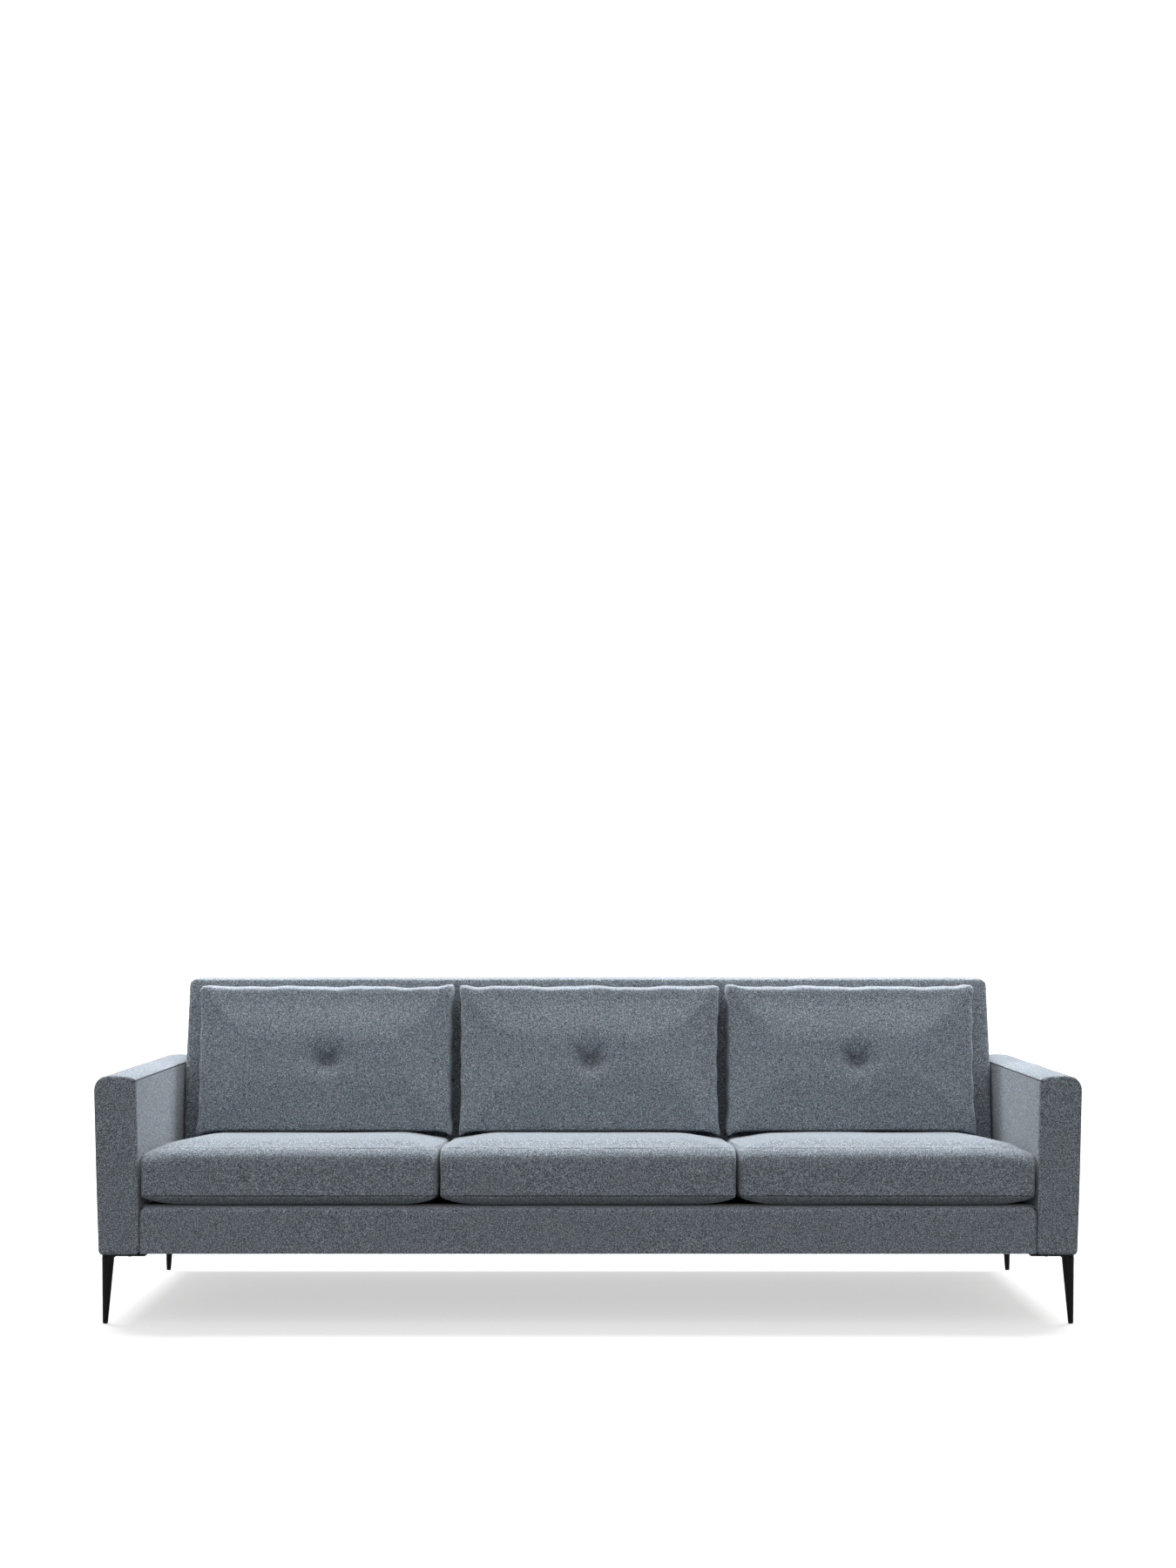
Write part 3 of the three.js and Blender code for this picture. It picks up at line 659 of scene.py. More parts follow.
for side, sign in SIDES.items():
    low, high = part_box(f"arm_cover_{side}")
    outer, inner = (low.x, high.x) if sign < 0 else (high.x, low.x)
    shoulder = high.z - ARM_CROWN
    arm = new_block(f"upholstered_arm_{side}", low, (high.x, high.y, shoulder))
    bpy.ops.object.mode_set(mode="EDIT")
    round_edges(arm, lambda e: runs(e, 1, x=outer, z=shoulder), ARM_ROLL, 8)
    round_edges(arm, lambda e: runs(e, 1, x=inner, z=shoulder), ARM_INNER_ROUND, 2)
    round_edges(arm, lambda e: runs(e, 1, z=low.z), ARM_HEM_ROUND, 4)
    for y in (low.y, high.y):
        round_edges(arm, lambda e: lies_at(e, 1, y), ARM_END_ROUND, 4)
    bpy.ops.object.mode_set(mode="OBJECT")
    remesh(arm, ARM_SKIN)
    co = points(arm)
    across = np.clip((co[:, 0] - (low.x + high.x) / 2) / ((high.x - low.x) / 2), -1, 1)
    crowned = ease(co[:, 2], shoulder - 26 * MM, shoulder - 3 * MM)
    co[:, 2] += ARM_CROWN * (1 - np.abs(across) ** 2.2) * crowned
    rise = (co[:, 2] - low.z) / (high.z - low.z)
    # the outer side is fullest below the top and pulls in towards the hem
    fullness = ARM_FULLNESS * (1 - ease(rise, 0.0, 0.75))
    co[:, 0] -= sign * fullness * ease(sign * co[:, 0], abs(inner) + 60 * MM, abs(outer))
    set_points(arm, co)
    co += normals(arm) * uneven(co, 0.5 * MM, 330 * MM, 1.3 + sign)[:, None]
    co[:, 0] = np.where(sign * co[:, 0] < abs(inner), inner, co[:, 0])
    co[:, 1] = np.clip(co[:, 1], low.y, high.y)
    co[:, 2] = np.maximum(co[:, 2], low.z)
    set_points(arm, co)
    cavity = new_block(
        "arm_cavity",
        (low.x + ARM_WALL, low.y + ARM_WALL, low.z - 1 * MM),
        (high.x - ARM_WALL, high.y - ARM_WALL, high.z - ARM_TOP_WALL),
    )
    combine(arm, cavity, "DIFFERENCE")
    seam_z = shoulder - ARM_SEAM_DROP
    on_inner = lambda v: abs(v.x - inner) < 9 * MM
    # the seams below get full painted shade along them
    sew(arm, (0, 0, seam_z), (0, 0, 1), on_inner, half=2.6 * MM, depth=3.5 * MM)
    below_seam = lambda v: on_inner(v) and v.z < seam_z
    sew(arm, (0, low.y + ARM_FRONT_SEAM, 0), (0, 1, 0), below_seam, depth=1.5 * MM)
    smooth(arm, 60)
    finish_piece(arm, "frame", "body_cloth", cover_cloth, f"arm_cover_{side}")

# ---- Apron
# Wadding and cloth over the front rail, between the arms: turned under the rail, stapled, and
# carried back over it as a flap that meets the deck.
APRON_SKIN = 5 * MM
APRON_DEPTH = 46 * MM
APRON_END_ROUND = 20 * MM
APRON_FRONT_ROUND = 11 * MM
APRON_WALL = 13.6 * MM
APRON_HEM = 4.1 * MM
APRON_FLAP = 5.4 * MM
FLAP_TOP = 292.6 * MM  # the flap's line where it starts, at the apron's front
RAKE = math.tan(math.radians(3.6))  # the seat falls towards the back


def on_front_rim(edge):
    """The front edge of the apron's top and of its rounded ends, without the long uprights."""
    upright = along(2, edge) and edge.calc_length() > 50 * MM
    near_top = middle(edge).z > high.z - APRON_END_ROUND - MM
    return near(middle(edge).y, low.y) and near_top and not upright


low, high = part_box("apron_cover")
apron = new_block("apron_front", low, (high.x, low.y + APRON_DEPTH, high.z))
bpy.ops.object.mode_set(mode="EDIT")
round_edges(apron, lambda e: runs(e, 1, z=high.z), APRON_END_ROUND, 6)
round_edges(apron, on_front_rim, APRON_FRONT_ROUND, 5)
bpy.ops.object.mode_set(mode="OBJECT")
remesh(apron, APRON_SKIN)
co = points(apron)
co[:, 1] += uneven(co, 0.5 * MM, 400 * MM, 0.4) * ease(-co[:, 1], -low.y - 20 * MM, -low.y)
co[:, 1] = np.maximum(co[:, 1], low.y)
set_points(apron, co)
flap = new_block("apron_flap", (low.x, low.y + 30 * MM, high.z - APRON_FLAP), (high.x, high.y, high.z))
bpy.ops.object.mode_set(mode="EDIT")
pick(flap, "verts", lambda v: v.co.y > high.y - MM)
flap_drop = high.z - (FLAP_TOP - RAKE * (high.y - low.y))
bpy.ops.transform.translate(value=(0, 0, -flap_drop))
bpy.ops.object.mode_set(mode="OBJECT")
under_flap = new_block(
    "apron_cavity",
    (low.x - MM, low.y + APRON_WALL, low.z + APRON_HEM),
    (high.x + MM, low.y + 60 * MM, high.z - APRON_FLAP),
)
combine(apron, under_flap, "DIFFERENCE")
combine(apron, flap, "UNION")
smooth(apron, 50)
finish_piece(apron, "frame", "body_cloth", cover_cloth, "apron_cover")

# ---- Seat deck
# Felt under a dark cotton platform cloth in a plain weave, laid over the webbing; it sinks a
# little between the straps.
DECK_THREAD = WAVE / 160  # 2 mm, drawn coarser than real so that it shows
DECK_THICKNESS = 6.7 * MM
DECK_SAG = 2.2 * MM
DECK_CUTS = (60, 16)  # squares across, and front to back
STRAP_PITCH = (183 * MM, 181 * MM)

platform_cloth, tree, shader = new_material("cotton_platform_cloth")
place = add_node(tree, "TexCoord", {})
warp = add_node(
    tree,
    "TexWave",
    {"Vector": place.outputs["Object"], "Scale": WAVE / DECK_THREAD, "Distortion": 0.6},
    bands_direction="X",
)
weft = add_node(
    tree,
    "TexWave",
    {"Vector": place.outputs["Object"], "Scale": WAVE / DECK_THREAD, "Distortion": 0.6},
    bands_direction="Y",
)
plain = add_node(tree, "Math", {0: warp.outputs["Fac"], 1: weft.outputs["Fac"]}, operation="ADD")
deck_ramp = add_node(tree, "ValToRGB", {"Fac": plain.outputs["Value"]})
deck_ramp.color_ramp.elements[0].color = tone("#26282b")
deck_ramp.color_ramp.elements[1].color = tone("#393c40")
deck_bump = add_node(
    tree, "Bump", {"Height": plain.outputs["Value"], "Strength": 0.5, "Distance": 0.3 * MM}
)
tree.links.new(deck_ramp.outputs["Color"], shader.inputs["Base Color"])
tree.links.new(deck_bump.outputs["Normal"], shader.inputs["Normal"])
shader.inputs["Roughness"].default_value = 0.9

low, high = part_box("seat_deck")
deck = new_block("seat_platform", (low.x, low.y, high.z - DECK_THICKNESS), high)
bpy.ops.object.mode_set(mode="EDIT")
for axis, cuts in enumerate(DECK_CUTS):
    for step in range(1, cuts):
        plane, facing = Vector((0, 0, 0)), Vector((0, 0, 0))
        plane[axis] = low[axis] + (high[axis] - low[axis]) * step / cuts
        facing[axis] = 1
        bpy.ops.mesh.select_all(action="SELECT")
        bpy.ops.mesh.bisect(plane_co=plane, plane_no=facing)
bpy.ops.object.mode_set(mode="OBJECT")
co = points(deck)
inside = ease(co[:, 0], low.x, low.x + 60 * MM) * ease(-co[:, 0], -high.x, -high.x + 60 * MM)
inside *= ease(co[:, 1], low.y, low.y + 50 * MM) * ease(-co[:, 1], -high.y, -high.y + 50 * MM)
upper = co[:, 2] > high.z - 3 * MM
straps_across = np.cos(co[:, 0] * 2 * math.pi / STRAP_PITCH[0])
straps_deep = np.cos((co[:, 1] - low.y) * 2 * math.pi / STRAP_PITCH[1])
co[:, 2] -= upper * inside * DECK_SAG * (0.5 - 0.5 * straps_across * straps_deep)
co[:, 2] -= RAKE * (co[:, 1] - low.y)
set_points(deck, co)
smooth(deck, 40)
finish_piece(deck, "frame", "platform_cloth", platform_cloth, "seat_deck")

# ---- Dust cover
# A thin black spunbonded sheet, pressed with small dimples and stapled under the seat. It hangs
# a little between its edges, and puckers at the staples.
DUST_DIMPLE = 2 * MM
DUST_FIBRE = MM / 0.3  # 3.3 mm
DUST_THICKNESS = 0.8 * MM
DUST_SAG = 1.2 * MM
DUST_PUCKER = 0.7 * MM
STAPLE_PITCH = 60 * MM

spunbond, tree, shader = new_material("black_spunbond")
place = add_node(tree, "TexCoord", {})
dimples = add_node(tree, "TexVoronoi", {"Vector": place.outputs["Object"], "Scale": 1 / DUST_DIMPLE})
fibres = add_node(
    tree, "TexNoise", {"Vector": place.outputs["Object"], "Scale": 1 / DUST_FIBRE, "Detail": 4}
)
dust_ramp = add_node(tree, "ValToRGB", {"Fac": fibres.outputs["Fac"]})
dust_ramp.color_ramp.elements[0].color = tone("#141415")
dust_ramp.color_ramp.elements[1].color = tone("#232325")
dust_bump = add_node(
    tree, "Bump", {"Height": dimples.outputs["Distance"], "Strength": 0.5, "Distance": 0.2 * MM}
)
tree.links.new(dust_ramp.outputs["Color"], shader.inputs["Base Color"])
tree.links.new(dust_bump.outputs["Normal"], shader.inputs["Normal"])
shader.inputs["Roughness"].default_value = 0.75

low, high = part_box("dust_cover")
lone()
bpy.ops.mesh.primitive_grid_add(
    x_subdivisions=108,
    y_subdivisions=40,
    size=1,
    location=((low.x + high.x) / 2, (low.y + high.y) / 2, high.z - DUST_THICKNESS),
)
dust = bpy.context.object
dust.name = "dust_sheet"
dust.scale = (high.x - low.x, high.y - low.y, 1)
bpy.ops.object.transform_apply(location=True, rotation=True, scale=True)
co = points(dust)
edge = np.minimum.reduce(
    [co[:, 0] - low.x, high.x - co[:, 0], co[:, 1] - low.y, high.y - co[:, 1]]
)
round_the_edge = co[:, 0] + co[:, 1]
pucker = DUST_PUCKER * (0.5 - 0.5 * np.cos(round_the_edge * 2 * math.pi / STAPLE_PITCH))
by_staples = ease(edge, 0, 12 * MM) * (1 - ease(edge, 12 * MM, 70 * MM))
co[:, 2] -= DUST_SAG * ease(edge, 0, 120 * MM) + pucker * by_staples
set_points(dust, co)
wall = dust.modifiers.new("thickness", "SOLIDIFY")
wall.thickness = DUST_THICKNESS
wall.offset = 1
apply_all(dust)
smooth(dust, 40)
finish_piece(dust, "frame", "dust_cloth", spunbond, "dust_cover")

# ---- Backrest cover
# Wadding and cloth over the plywood ribs: a leaning front, a rolled top, and an outside back
# panel closed with a seam just inside its edges.
LEAN = math.tan(math.radians(13.1))
BACKREST_SKIN = 7.5 * MM
BACK_FOOT = 254 * MM  # the height where the front starts to lean
BACK_BEND = 600 * MM  # the height where the rear starts to draw in
BACK_TOP_REAR = 848 * MM  # from the arms' front
BACK_PANEL = 835 * MM  # the outside back panel lies behind this, from the arms' front
BACK_TAPER = 5 * MM
BACK_END_ROUND = 20 * MM
BACK_FRONT_ROUND = 22 * MM
BACK_REAR_ROUND = 30 * MM
BACK_WALL = 12 * MM
BACK_FRONT_WALL = 12.4 * MM
BACK_SEAM_DROP = 34 * MM  # below the top
BACK_SEAM_IN = 14 * MM  # from each end

low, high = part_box("back_cover")
arm_low, arm_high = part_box("arm_cover_left")
front_foot = low.y


def back_shape(name, inset, bottom, top, half):
    """The backrest's block: upright below the seat, then leaning, with a drawn-in rear top."""
    piece = new_block(name, (-half, front_foot + inset, bottom), (half, high.y - inset, top))
    bpy.ops.object.mode_set(mode="EDIT")
    for z in (BACK_FOOT, BACK_BEND):
        bpy.ops.mesh.select_all(action="SELECT")
        bpy.ops.mesh.bisect(plane_co=(0, 0, z), plane_no=(0, 0, 1))
    centre_y = (front_foot + high.y) / 2
    rear_top = arm_low.y + BACK_TOP_REAR
    rear_drop = (high.y - rear_top) * (top - BACK_BEND) / (high.z - BACK_BEND)
    moves = (
        (lambda v: v.co.y < centre_y and near(v.co.z, BACK_BEND), LEAN * (BACK_BEND - BACK_FOOT)),
        (lambda v: v.co.y < centre_y and near(v.co.z, top), LEAN * (top - BACK_FOOT)),
        (lambda v: v.co.y > centre_y and near(v.co.z, top), -rear_drop),
    )
    for test, move in moves:
        pick(piece, "verts", test)
        bpy.ops.transform.translate(value=(0, move, 0))
    return piece


def soften(piece, rounds):
    """Eases the edges, as wadding does."""
    modifier = piece.modifiers.new("soften", "SMOOTH")
    modifier.factor = 0.5
    modifier.iterations = rounds
    apply_all(piece)


back = back_shape("upholstered_back", 0, low.z, high.z, high.x)
middle_y = (front_foot + LEAN * (high.z - BACK_FOOT) + arm_low.y + BACK_TOP_REAR) / 2
round_edges(back, lambda e: lies_at(e, 2, high.z) and not along(0, e), BACK_END_ROUND, 6)
round_edges(back, lambda e: runs(e, 0, z=high.z) and middle(e).y < middle_y, BACK_FRONT_ROUND, 6)
round_edges(back, lambda e: runs(e, 0, z=high.z) and middle(e).y > middle_y, BACK_REAR_ROUND, 6)
bpy.ops.object.mode_set(mode="OBJECT")
remesh(back, BACKREST_SKIN)
soften(back, 4)
co = points(back)
rise = ease(co[:, 2], arm_high.z - 60 * MM, high.z)
co[:, 0] -= np.sign(co[:, 0]) * BACK_TAPER * rise * ease(np.abs(co[:, 0]), 0.7, 1.05)
co += normals(back) * uneven(co, 0.7 * MM, 500 * MM, 2.1)[:, None]
co[:, 0] = np.clip(co[:, 0], low.x, high.x)
rear_face = high.y - np.clip((co[:, 2] - BACK_BEND) / (high.z - BACK_BEND), 0, 1) * (
    high.y - arm_low.y - BACK_TOP_REAR
)
# the wadding keeps the outside back panel clear of the hardboard
facing_rear = normals(back)[:, 1] > 0.6
off_edges = (co[:, 2] < high.z - 40 * MM) & (np.abs(co[:, 0]) < high.x - 10 * MM)
co[:, 1] = np.where(facing_rear & off_edges, np.maximum(co[:, 1], rear_face - 2 * MM), co[:, 1])
co[:, 1] = np.minimum(co[:, 1], high.y)
co[:, 2] = np.clip(co[:, 2], low.z, high.z)
set_points(back, co)
cavity = back_shape(
    "back_cavity", BACK_FRONT_WALL, low.z - 5 * MM, high.z - BACK_WALL, high.x - BACK_WALL
)
bpy.ops.object.mode_set(mode="OBJECT")
combine(back, cavity, "DIFFERENCE")
seam_z = high.z - BACK_SEAM_DROP
on_back_panel = lambda v: v.y > arm_low.y + BACK_PANEL
# the seams below get full painted shade along them
sew(back, (0, 0, seam_z), (0, 0, 1), on_back_panel)
for sign in SIDES.values():
    end_seam = (sign * (high.x - BACK_SEAM_IN), 0, 0)
    sew(back, end_seam, (1, 0, 0), lambda v: on_back_panel(v) and v.z < seam_z)
smooth(back, 60)
finish_piece(back, "frame", "body_cloth", cover_cloth, "back_cover")

# ---- Seat cushions
# Loose boxed cushions: high-resilience foam in fibre wrap, in a cover with a border between two
# seams. The foam crowns under the cloth and the corners stay slacker than the middle.
PLACES = ("left", "centre", "right")
SEAT_SKIN = 9 * MM
SWELL_FRAMES = 20
SEAT_BOTTOM = 294.5 * MM
SEAT_REAR_FOOT = 567 * MM  # from the arms' front
SEAT_SIDE_ROOM = 3 * MM  # the foam starts this much smaller, so that the cover can swell
SEAT_FRONT_ROOM = 6 * MM
SEAT_TOP_ROOM = 11 * MM
SEAT_FRONT_ROUND = 40 * MM
UPPER_SEAM, LOWER_SEAM = 434 * MM, 317 * MM
FRONT_DIP = 12 * MM  # how far the crown falls to the front edge
CORNER_LIFT = 17 * MM  # how far the lower front corners pull up
SEAT_TUCK = 18 * MM  # how far the cover turns under below the lower seam


def swell(piece, held, pressure, caps, free, slack=0.2):
    """Lets the stuffing press the cover out from inside, by no more than the cap for each axis.

    The cover has slack sewn in, so its edges stay where they are while its panels crown: `free`
    says how far each point is from them, from 0 to 1.
    """
    before, outward = points(piece), normals(piece)
    cap = np.sqrt((outward**2 * np.array(caps) ** 2).sum(axis=1))
    group = piece.vertex_groups.new(name="held")
    group.add([int(i) for i in np.nonzero(held(before))[0]], 1.0, "REPLACE")
    cover = piece.modifiers.new("cover", "CLOTH")
    cover.settings.quality = 4
    cover.settings.use_pressure = True
    cover.settings.uniform_pressure_force = pressure
    cover.settings.effector_weights.gravity = 0
    cover.settings.vertex_group_mass = "held"
    cover.point_cache.frame_start = 1
    cover.point_cache.frame_end = SWELL_FRAMES
    for now in range(1, SWELL_FRAMES + 1):
        scene.frame_set(now)
    apply_all(piece)
    scene.frame_set(1)
    piece.vertex_groups.clear()
    moved = points(piece) - before
    rise = (moved * outward).sum(axis=1)
    sideways = moved - outward * rise[:, None]
    rise = cap * np.tanh(np.maximum(rise, -1 * MM) / cap)
    moved = outward * rise[:, None] + sideways * slack
    set_points(piece, before + moved * free(before)[:, None])


def subdivide_once(piece):
    modifier = piece.modifiers.new("finer", "SUBSURF")
    modifier.levels = modifier.render_levels = 1
    apply_all(piece)


def fill_between(values, low, high):
    """Stretches values so that they just reach from low to high."""
    return low + (values - values.min()) * (high - low) / (values.max() - values.min())


def flat_against(value, limit, give):
    """Presses values flat against a limit, easing in over the last `give` metres."""
    over = (value - (limit - give)) / give
    return np.where(over > 0, limit - give + give * np.tanh(over), value)


for number, place_name in enumerate(PLACES):
    low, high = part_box(f"seat_cushion_{place_name}")
    centre = (low.x + high.x) / 2
    half = (high.x - low.x) / 2
    rear_foot = low.y + SEAT_REAR_FOOT
    seat = new_block(
        f"seat_pad_{place_name}",
        (low.x + SEAT_SIDE_ROOM, low.y + SEAT_FRONT_ROOM, SEAT_BOTTOM),
        (high.x - SEAT_SIDE_ROOM, rear_foot, high.z - SEAT_TOP_ROOM),
    )
    bpy.ops.object.mode_set(mode="EDIT")
    front_y, top_z = low.y + SEAT_FRONT_ROOM, high.z - SEAT_TOP_ROOM
    round_edges(seat, lambda e: lies_at(e, 1, front_y) and lies_at(e, 2, top_z), SEAT_FRONT_ROUND, 8)
    bpy.ops.object.mode_set(mode="OBJECT")
    remesh(seat, SEAT_SKIN)
    soften(seat, 9)
    swell(
        seat,
        lambda p: (p[:, 2] < SEAT_BOTTOM + 4 * MM) | (p[:, 1] > rear_foot - 4 * MM),
        pressure=3.5,
        caps=(2.5 * MM, 6 * MM, 14 * MM),
        free=lambda p: np.maximum(
            ease(np.minimum(half - np.abs(p[:, 0] - centre), p[:, 1] - low.y), 5 * MM, 130 * MM),
            ease(np.minimum(p[:, 2] - SEAT_BOTTOM, high.z - p[:, 2]), 12 * MM, 60 * MM),
        ),
    )
    subdivide_once(seat)
    co = points(seat)
    co[:, 0] = fill_between(co[:, 0], low.x - 1.5 * MM, high.x + 1.5 * MM)
    co[:, 1] = fill_between(co[:, 1], low.y - 1 * MM, rear_foot)
    co[:, 2] = fill_between(co[:, 2], SEAT_BOTTOM, high.z + 1 * MM)
    u = (co[:, 0] - centre) / half
    depth = (co[:, 1] - low.y) / (rear_foot - low.y)
    # the corners next to an arm hang lower than those between two cushions
    drop = np.zeros(len(co))
    for side, by_arm in ((-1, number == 0), (1, number == 2)):
        reach_in, fall = (0.6, 20 * MM) if by_arm else (0.86, 5 * MM)
        drop += fall * np.clip((side * u - reach_in) / (1 - reach_in), 0, 1.05) ** 2
    upper = ease(co[:, 2], SEAT_BOTTOM + 50 * MM, high.z)
    lower = 1 - ease(co[:, 2], SEAT_BOTTOM, SEAT_BOTTOM + 70 * MM)
    front_corner = 1 - ease(depth, 0.1, 0.6)
    co[:, 2] -= drop * upper * (0.35 + 0.65 * front_corner)
    co[:, 2] -= FRONT_DIP * np.clip(1 - depth / 0.2, 0, 1) ** 2 * upper
    co[:, 2] += CORNER_LIFT * np.clip((np.abs(u) - 0.72) / 0.28, 0, 1) ** 2 * lower * front_corner
    # below the lower seam the cover turns under
    turn_under = np.clip((LOWER_SEAM - co[:, 2]) / (LOWER_SEAM - SEAT_BOTTOM), 0, 1)
    co[:, 1] += SEAT_TUCK * turn_under**1.2 * (1 - ease(depth, 0, 0.12))
    co += normals(seat) * uneven(co, 0.9 * MM, 310 * MM, 0.7 + number * 2.3)[:, None]
    co[:, 2] = np.maximum(co[:, 2], SEAT_BOTTOM)
    co[:, 0] = np.clip(co[:, 0], low.x - 1.4 * MM, high.x + 1.4 * MM)
    co[:, 1] = -flat_against(-co[:, 1], -low.y + 1 * MM, 5 * MM)
    # the back of the cushion leans with the backrest, and the seat falls towards the back
    co[:, 1] += ease(depth, 0.5, 1.0) * (co[:, 2] - SEAT_BOTTOM) * 0.2
    co[:, 2] -= RAKE * (co[:, 1] - low.y)
    set_points(seat, co)
    # the lower seam is deep, with full painted shade along it; the upper one is drawn tight, with light
    # painted shade, and hardly shows
    on_border = lambda v: v.y < rear_foot - 7 * MM
    for z, wide, dark in ((UPPER_SEAM, 1.4 * MM, 0.3), (LOWER_SEAM, 3 * MM, 1)):
        sew(seat, (0, low.y, z), (0, RAKE, 1), on_border, half=wide, depth=0.8 * wide, dark=dark)
    smooth(seat, 60)
    finish_piece(
        seat, f"seat_cushion_{place_name}", "cushion_cloth", cover_cloth, f"seat_cushion_{place_name}"
    )

# ---- Back cushions
# Loose fibre-stuffed cushions, sewn at the edges of the front and back panels, that lean on the
# backrest. One tuft in the middle draws the front in round a small covered button.
BACK_SKIN = 7 * MM
BACK_THICK = 110 * MM
BACK_PAD_FRONT = 12 * MM  # the stuffing starts this far in, so that the cover can swell
BACK_PAD_REAR = BACK_THICK - 2 * MM
BACK_CORNER_ROUND = 12 * MM
BACK_BORDER = 30 * MM  # the panels are sewn together this close to the cushion's edges
TUFT_Z = 607 * MM
TUFT_DEPTH = 18 * MM
TUFT_FOLDS = (math.radians(55), math.radians(128))
FOLD_DEPTH = 7 * MM
EAR = 8 * MM  # how far the top corners stand up
BUTTON_RADIUS = 8 * MM
BUTTON_THICK = 6 * MM
BUTTON_ROUND = 3 * MM
CUSHION_FRONT = 505 * MM  # from the arms' front, at the height of the seat cushions' top
SEAT_TOP = 458 * MM
BACK_STANDS_AT = 430.5 * MM


def lean_back(co, tall):
    """Moves points of an upright cushion, front at y = 0 and foot at z = 0, to its leaning place."""
    rise = np.clip(co[:, 2] / tall, 0, 1)
    co[:, 2] += BACK_STANDS_AT - RAKE * co[:, 1] * (1 - rise)
    co[:, 1] += arm_low.y + CUSHION_FRONT + LEAN * (co[:, 2] - SEAT_TOP)


def wave(values, pitch, phase=0):
    return np.sin(values * 2 * math.pi / pitch + phase)


def on_edge_of_panels(point):
    """True near the sewn edges of the cushion, away from the middle of its panels."""
    beside = abs(point.x - centre) > half - BACK_BORDER
    return beside or point.z > high.z - BACK_BORDER or point.z < BACK_STANDS_AT + 24 * MM


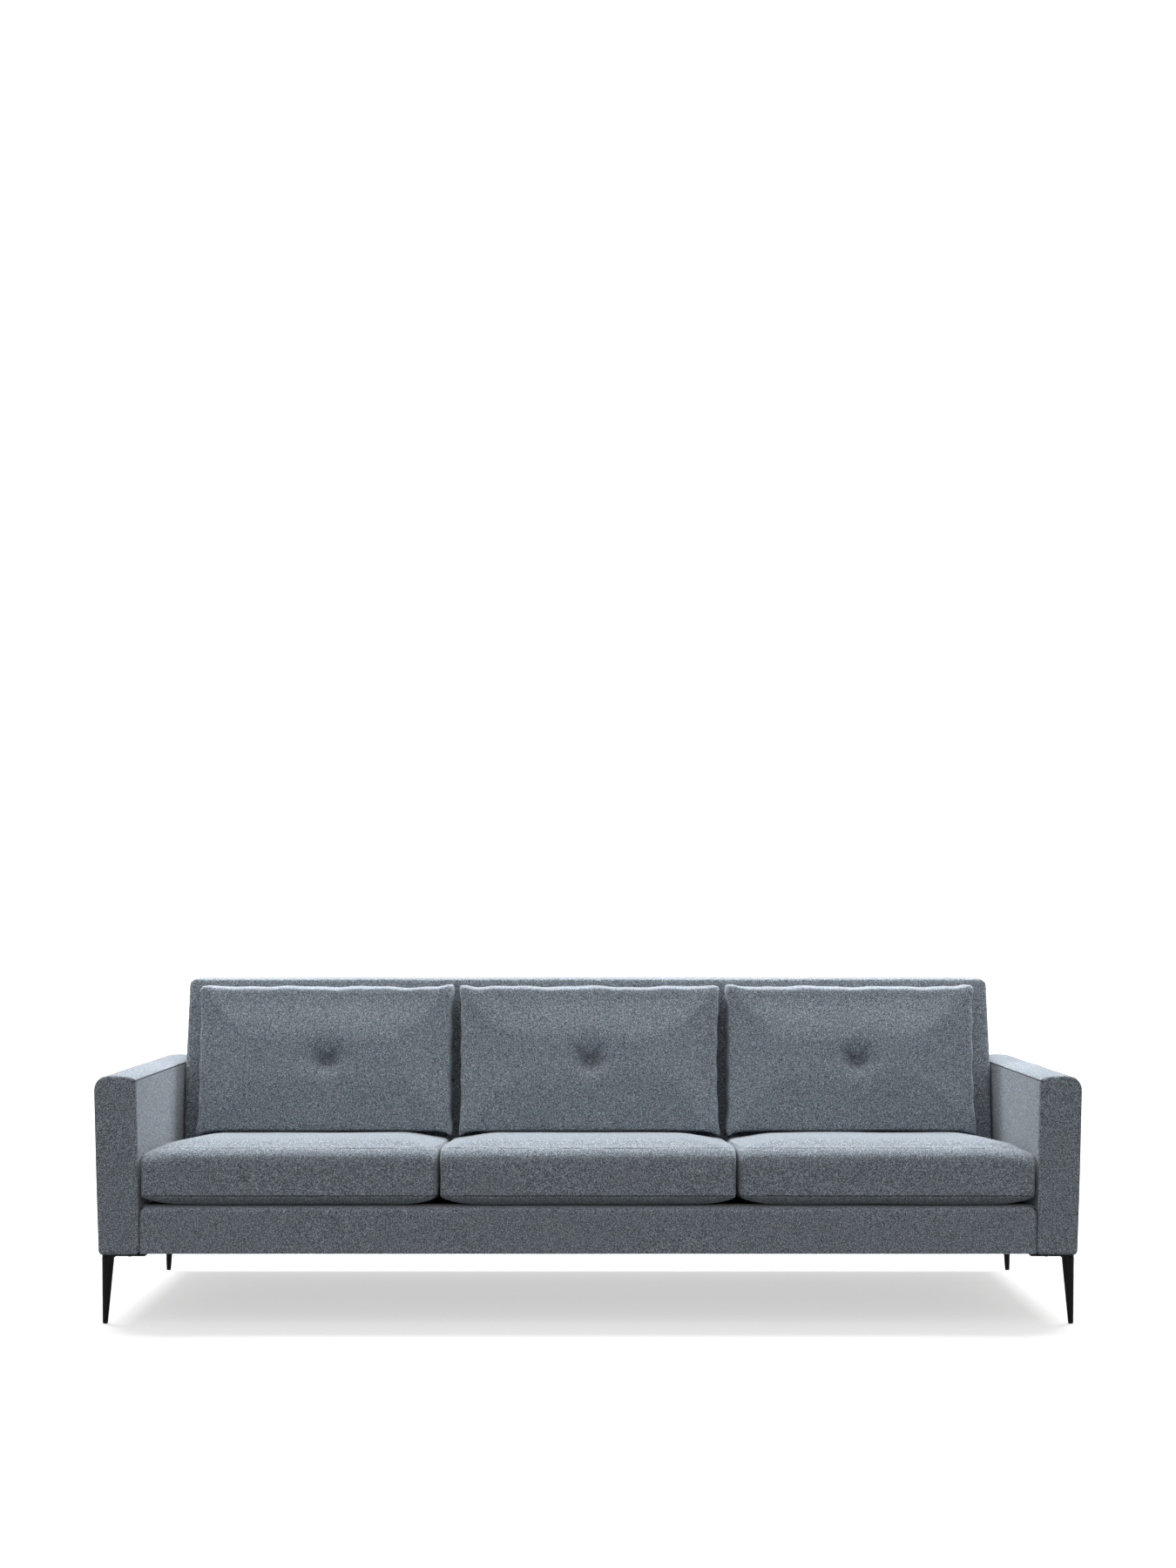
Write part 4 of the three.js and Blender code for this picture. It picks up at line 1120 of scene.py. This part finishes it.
for number, place_name in enumerate(PLACES):
    low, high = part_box(f"back_cushion_{place_name}")
    button_low, button_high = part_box(f"tuft_button_{place_name}")
    tuft_x = (button_low.x + button_high.x) / 2
    tuft_up = TUFT_Z - BACK_STANDS_AT
    centre = (low.x + high.x) / 2
    half = (high.x - low.x) / 2
    tall = high.z - BACK_STANDS_AT
    back_pad = new_block(
        f"back_pad_{place_name}",
        (low.x + 3 * MM, BACK_PAD_FRONT, 2 * MM),
        (high.x - 3 * MM, BACK_PAD_REAR, tall - 4 * MM),
    )
    bpy.ops.object.mode_set(mode="EDIT")
    round_edges(back_pad, lambda e: along(1, e), BACK_CORNER_ROUND, 4)
    round_edges(back_pad, lambda e: lies_at(e, 1, BACK_PAD_FRONT, 0.1 * MM), 9 * MM, 4)
    round_edges(back_pad, lambda e: lies_at(e, 1, BACK_PAD_REAR, 0.1 * MM), 20 * MM, 4)
    bpy.ops.object.mode_set(mode="OBJECT")
    remesh(back_pad, BACK_SKIN)
    swell(
        back_pad,
        lambda p: p[:, 1] > BACK_THICK - 5 * MM,
        pressure=3.0,
        caps=(2.5 * MM, 15 * MM, 2.5 * MM),
        free=lambda p: np.maximum(
            ease(
                np.minimum(half - np.abs(p[:, 0] - centre), np.minimum(p[:, 2], tall - p[:, 2])),
                3 * MM,
                150 * MM,
            ),
            ease(np.minimum(p[:, 1] - BACK_PAD_FRONT, BACK_THICK - p[:, 1]), 8 * MM, 35 * MM),
        ),
    )
    subdivide_once(back_pad)
    co = points(back_pad)
    co[:, 0] = fill_between(co[:, 0], low.x - 2 * MM, high.x + 2 * MM)
    co[:, 1] = fill_between(co[:, 1], -3 * MM, BACK_THICK - 1 * MM)
    co[:, 2] = fill_between(co[:, 2], 0, tall - 2 * MM)
    u = (co[:, 0] - centre) / half
    t = co[:, 2] / tall
    # the sides pull in between the corners, and the top corners stand up as small ears
    out, hand = np.abs(u), np.sign(u)
    by_top, by_foot = ease(t, 0.84, 1), 1 - ease(t, 0, 0.14)
    co[:, 0] -= hand * 2.5 * MM * np.sin(np.clip(t, 0, 1) * math.pi) ** 0.5 * ease(out, 0.6, 1)
    co[:, 0] += hand * 5 * MM * ease(out, 0.9, 1) * (by_top + by_foot)
    co[:, 2] += EAR * ease(out, 0.86, 1) * by_top
    co[:, 2] -= (7 * ease(out, 0.86, 1) + 11 * ease(out, 0.94, 1)) * MM * by_foot
    co[:, 2] -= 5 * MM * (1 - ease(t, 0, 0.1)) * (1 - ease(co[:, 1], 20 * MM, 60 * MM))
    # small puckers along the sewn edges, and a slow unevenness of the stuffing
    co[:, 0] += 1.2 * MM * wave(co[:, 2], 83 * MM, number * 2.1 + hand) * ease(out, 0.93, 1)
    ripple = wave(co[:, 0], 210 * MM, number * 1.3) + 0.6 * wave(co[:, 0], 93 * MM)
    co[:, 2] += 1.5 * MM * ripple * ease(t, 0.9, 1)
    co += normals(back_pad) * uneven(co, 1.2 * MM, 270 * MM, 3.1 + number * 1.9)[:, None]
    # the tuft: a dent that reaches further up than down, with folds running out from the button
    dx, dz = co[:, 0] - tuft_x, co[:, 2] - tuft_up
    away, turn = np.hypot(dx, dz), np.arctan2(dz, dx)
    spread = (24 + 12 * ease(dz, -18 * MM, 18 * MM)) * MM
    dent = TUFT_DEPTH * np.exp(-((away / spread) ** 1.5))
    for fold in TUFT_FOLDS:
        off = np.abs(np.arctan2(np.sin(turn - fold), np.cos(turn - fold))) * away
        run = ease(away, 3 * MM, 14 * MM) * (1 - ease(away, 24 * MM, 80 * MM))
        dent += FOLD_DEPTH * run * np.exp(-((off / (8 * MM)) ** 2))
    in_front = 1 - ease(co[:, 1], 30 * MM, 60 * MM)
    co[:, 1] += dent * in_front
    # painted shade in the tuft's dent and folds around and above the button, where little light gets down,
    # kept in the seam attribute
    shade = back_pad.data.attributes.new("seam", "FLOAT", "POINT")
    shadow = 0.5 * np.clip(dent / TUFT_DEPTH, 0, 1) * (dz > -6 * MM) * in_front
    shade.data.foreach_set("value", shadow.astype(np.float32))
    co[:, 1] = np.minimum(co[:, 1], BACK_THICK)
    lean_back(co, tall)
    set_points(back_pad, co)
    # both seams get full painted shade along them
    for deep in (30 * MM, BACK_THICK - 22 * MM):
        seam_point = (0, arm_low.y + CUSHION_FRONT + deep, SEAT_TOP)
        sew(back_pad, seam_point, (0, 1, -LEAN), on_edge_of_panels, half=1.4 * MM, depth=2 * MM)
    smooth(back_pad, 60)
    body = f"back_cushion_{place_name}"
    finish_piece(back_pad, body, "cushion_cloth", cover_cloth, f"back_cushion_{place_name}")

    # the button: a disc covered with the same cloth, its rim rounded over and its face domed
    lone()
    bpy.ops.mesh.primitive_cylinder_add(
        vertices=48,
        radius=BUTTON_RADIUS,
        depth=BUTTON_THICK,
        location=(tuft_x, TUFT_DEPTH, tuft_up),
        rotation=(math.radians(90), 0, 0),
    )
    button = bpy.context.object
    button.name = f"covered_button_{place_name}"
    bpy.ops.object.transform_apply(location=True, rotation=True, scale=True)
    bpy.ops.object.mode_set(mode="EDIT")
    face_y = TUFT_DEPTH - BUTTON_THICK / 2
    round_edges(button, lambda e: lies_at(e, 1, face_y, 0.1 * MM), BUTTON_ROUND, 5)
    pick(button, "faces", lambda f: near(f.calc_center_median().y, face_y, 0.1 * MM))
    for inset in (3 * MM, 3 * MM):
        bpy.ops.mesh.inset(thickness=inset, depth=0.5 * MM)
    bpy.ops.object.mode_set(mode="OBJECT")
    co = points(button)
    lean_back(co, tall)
    set_points(button, co)
    smooth(button, 50)
    finish_piece(button, body, "cushion_cloth", cover_cloth, f"tuft_button_{place_name}")
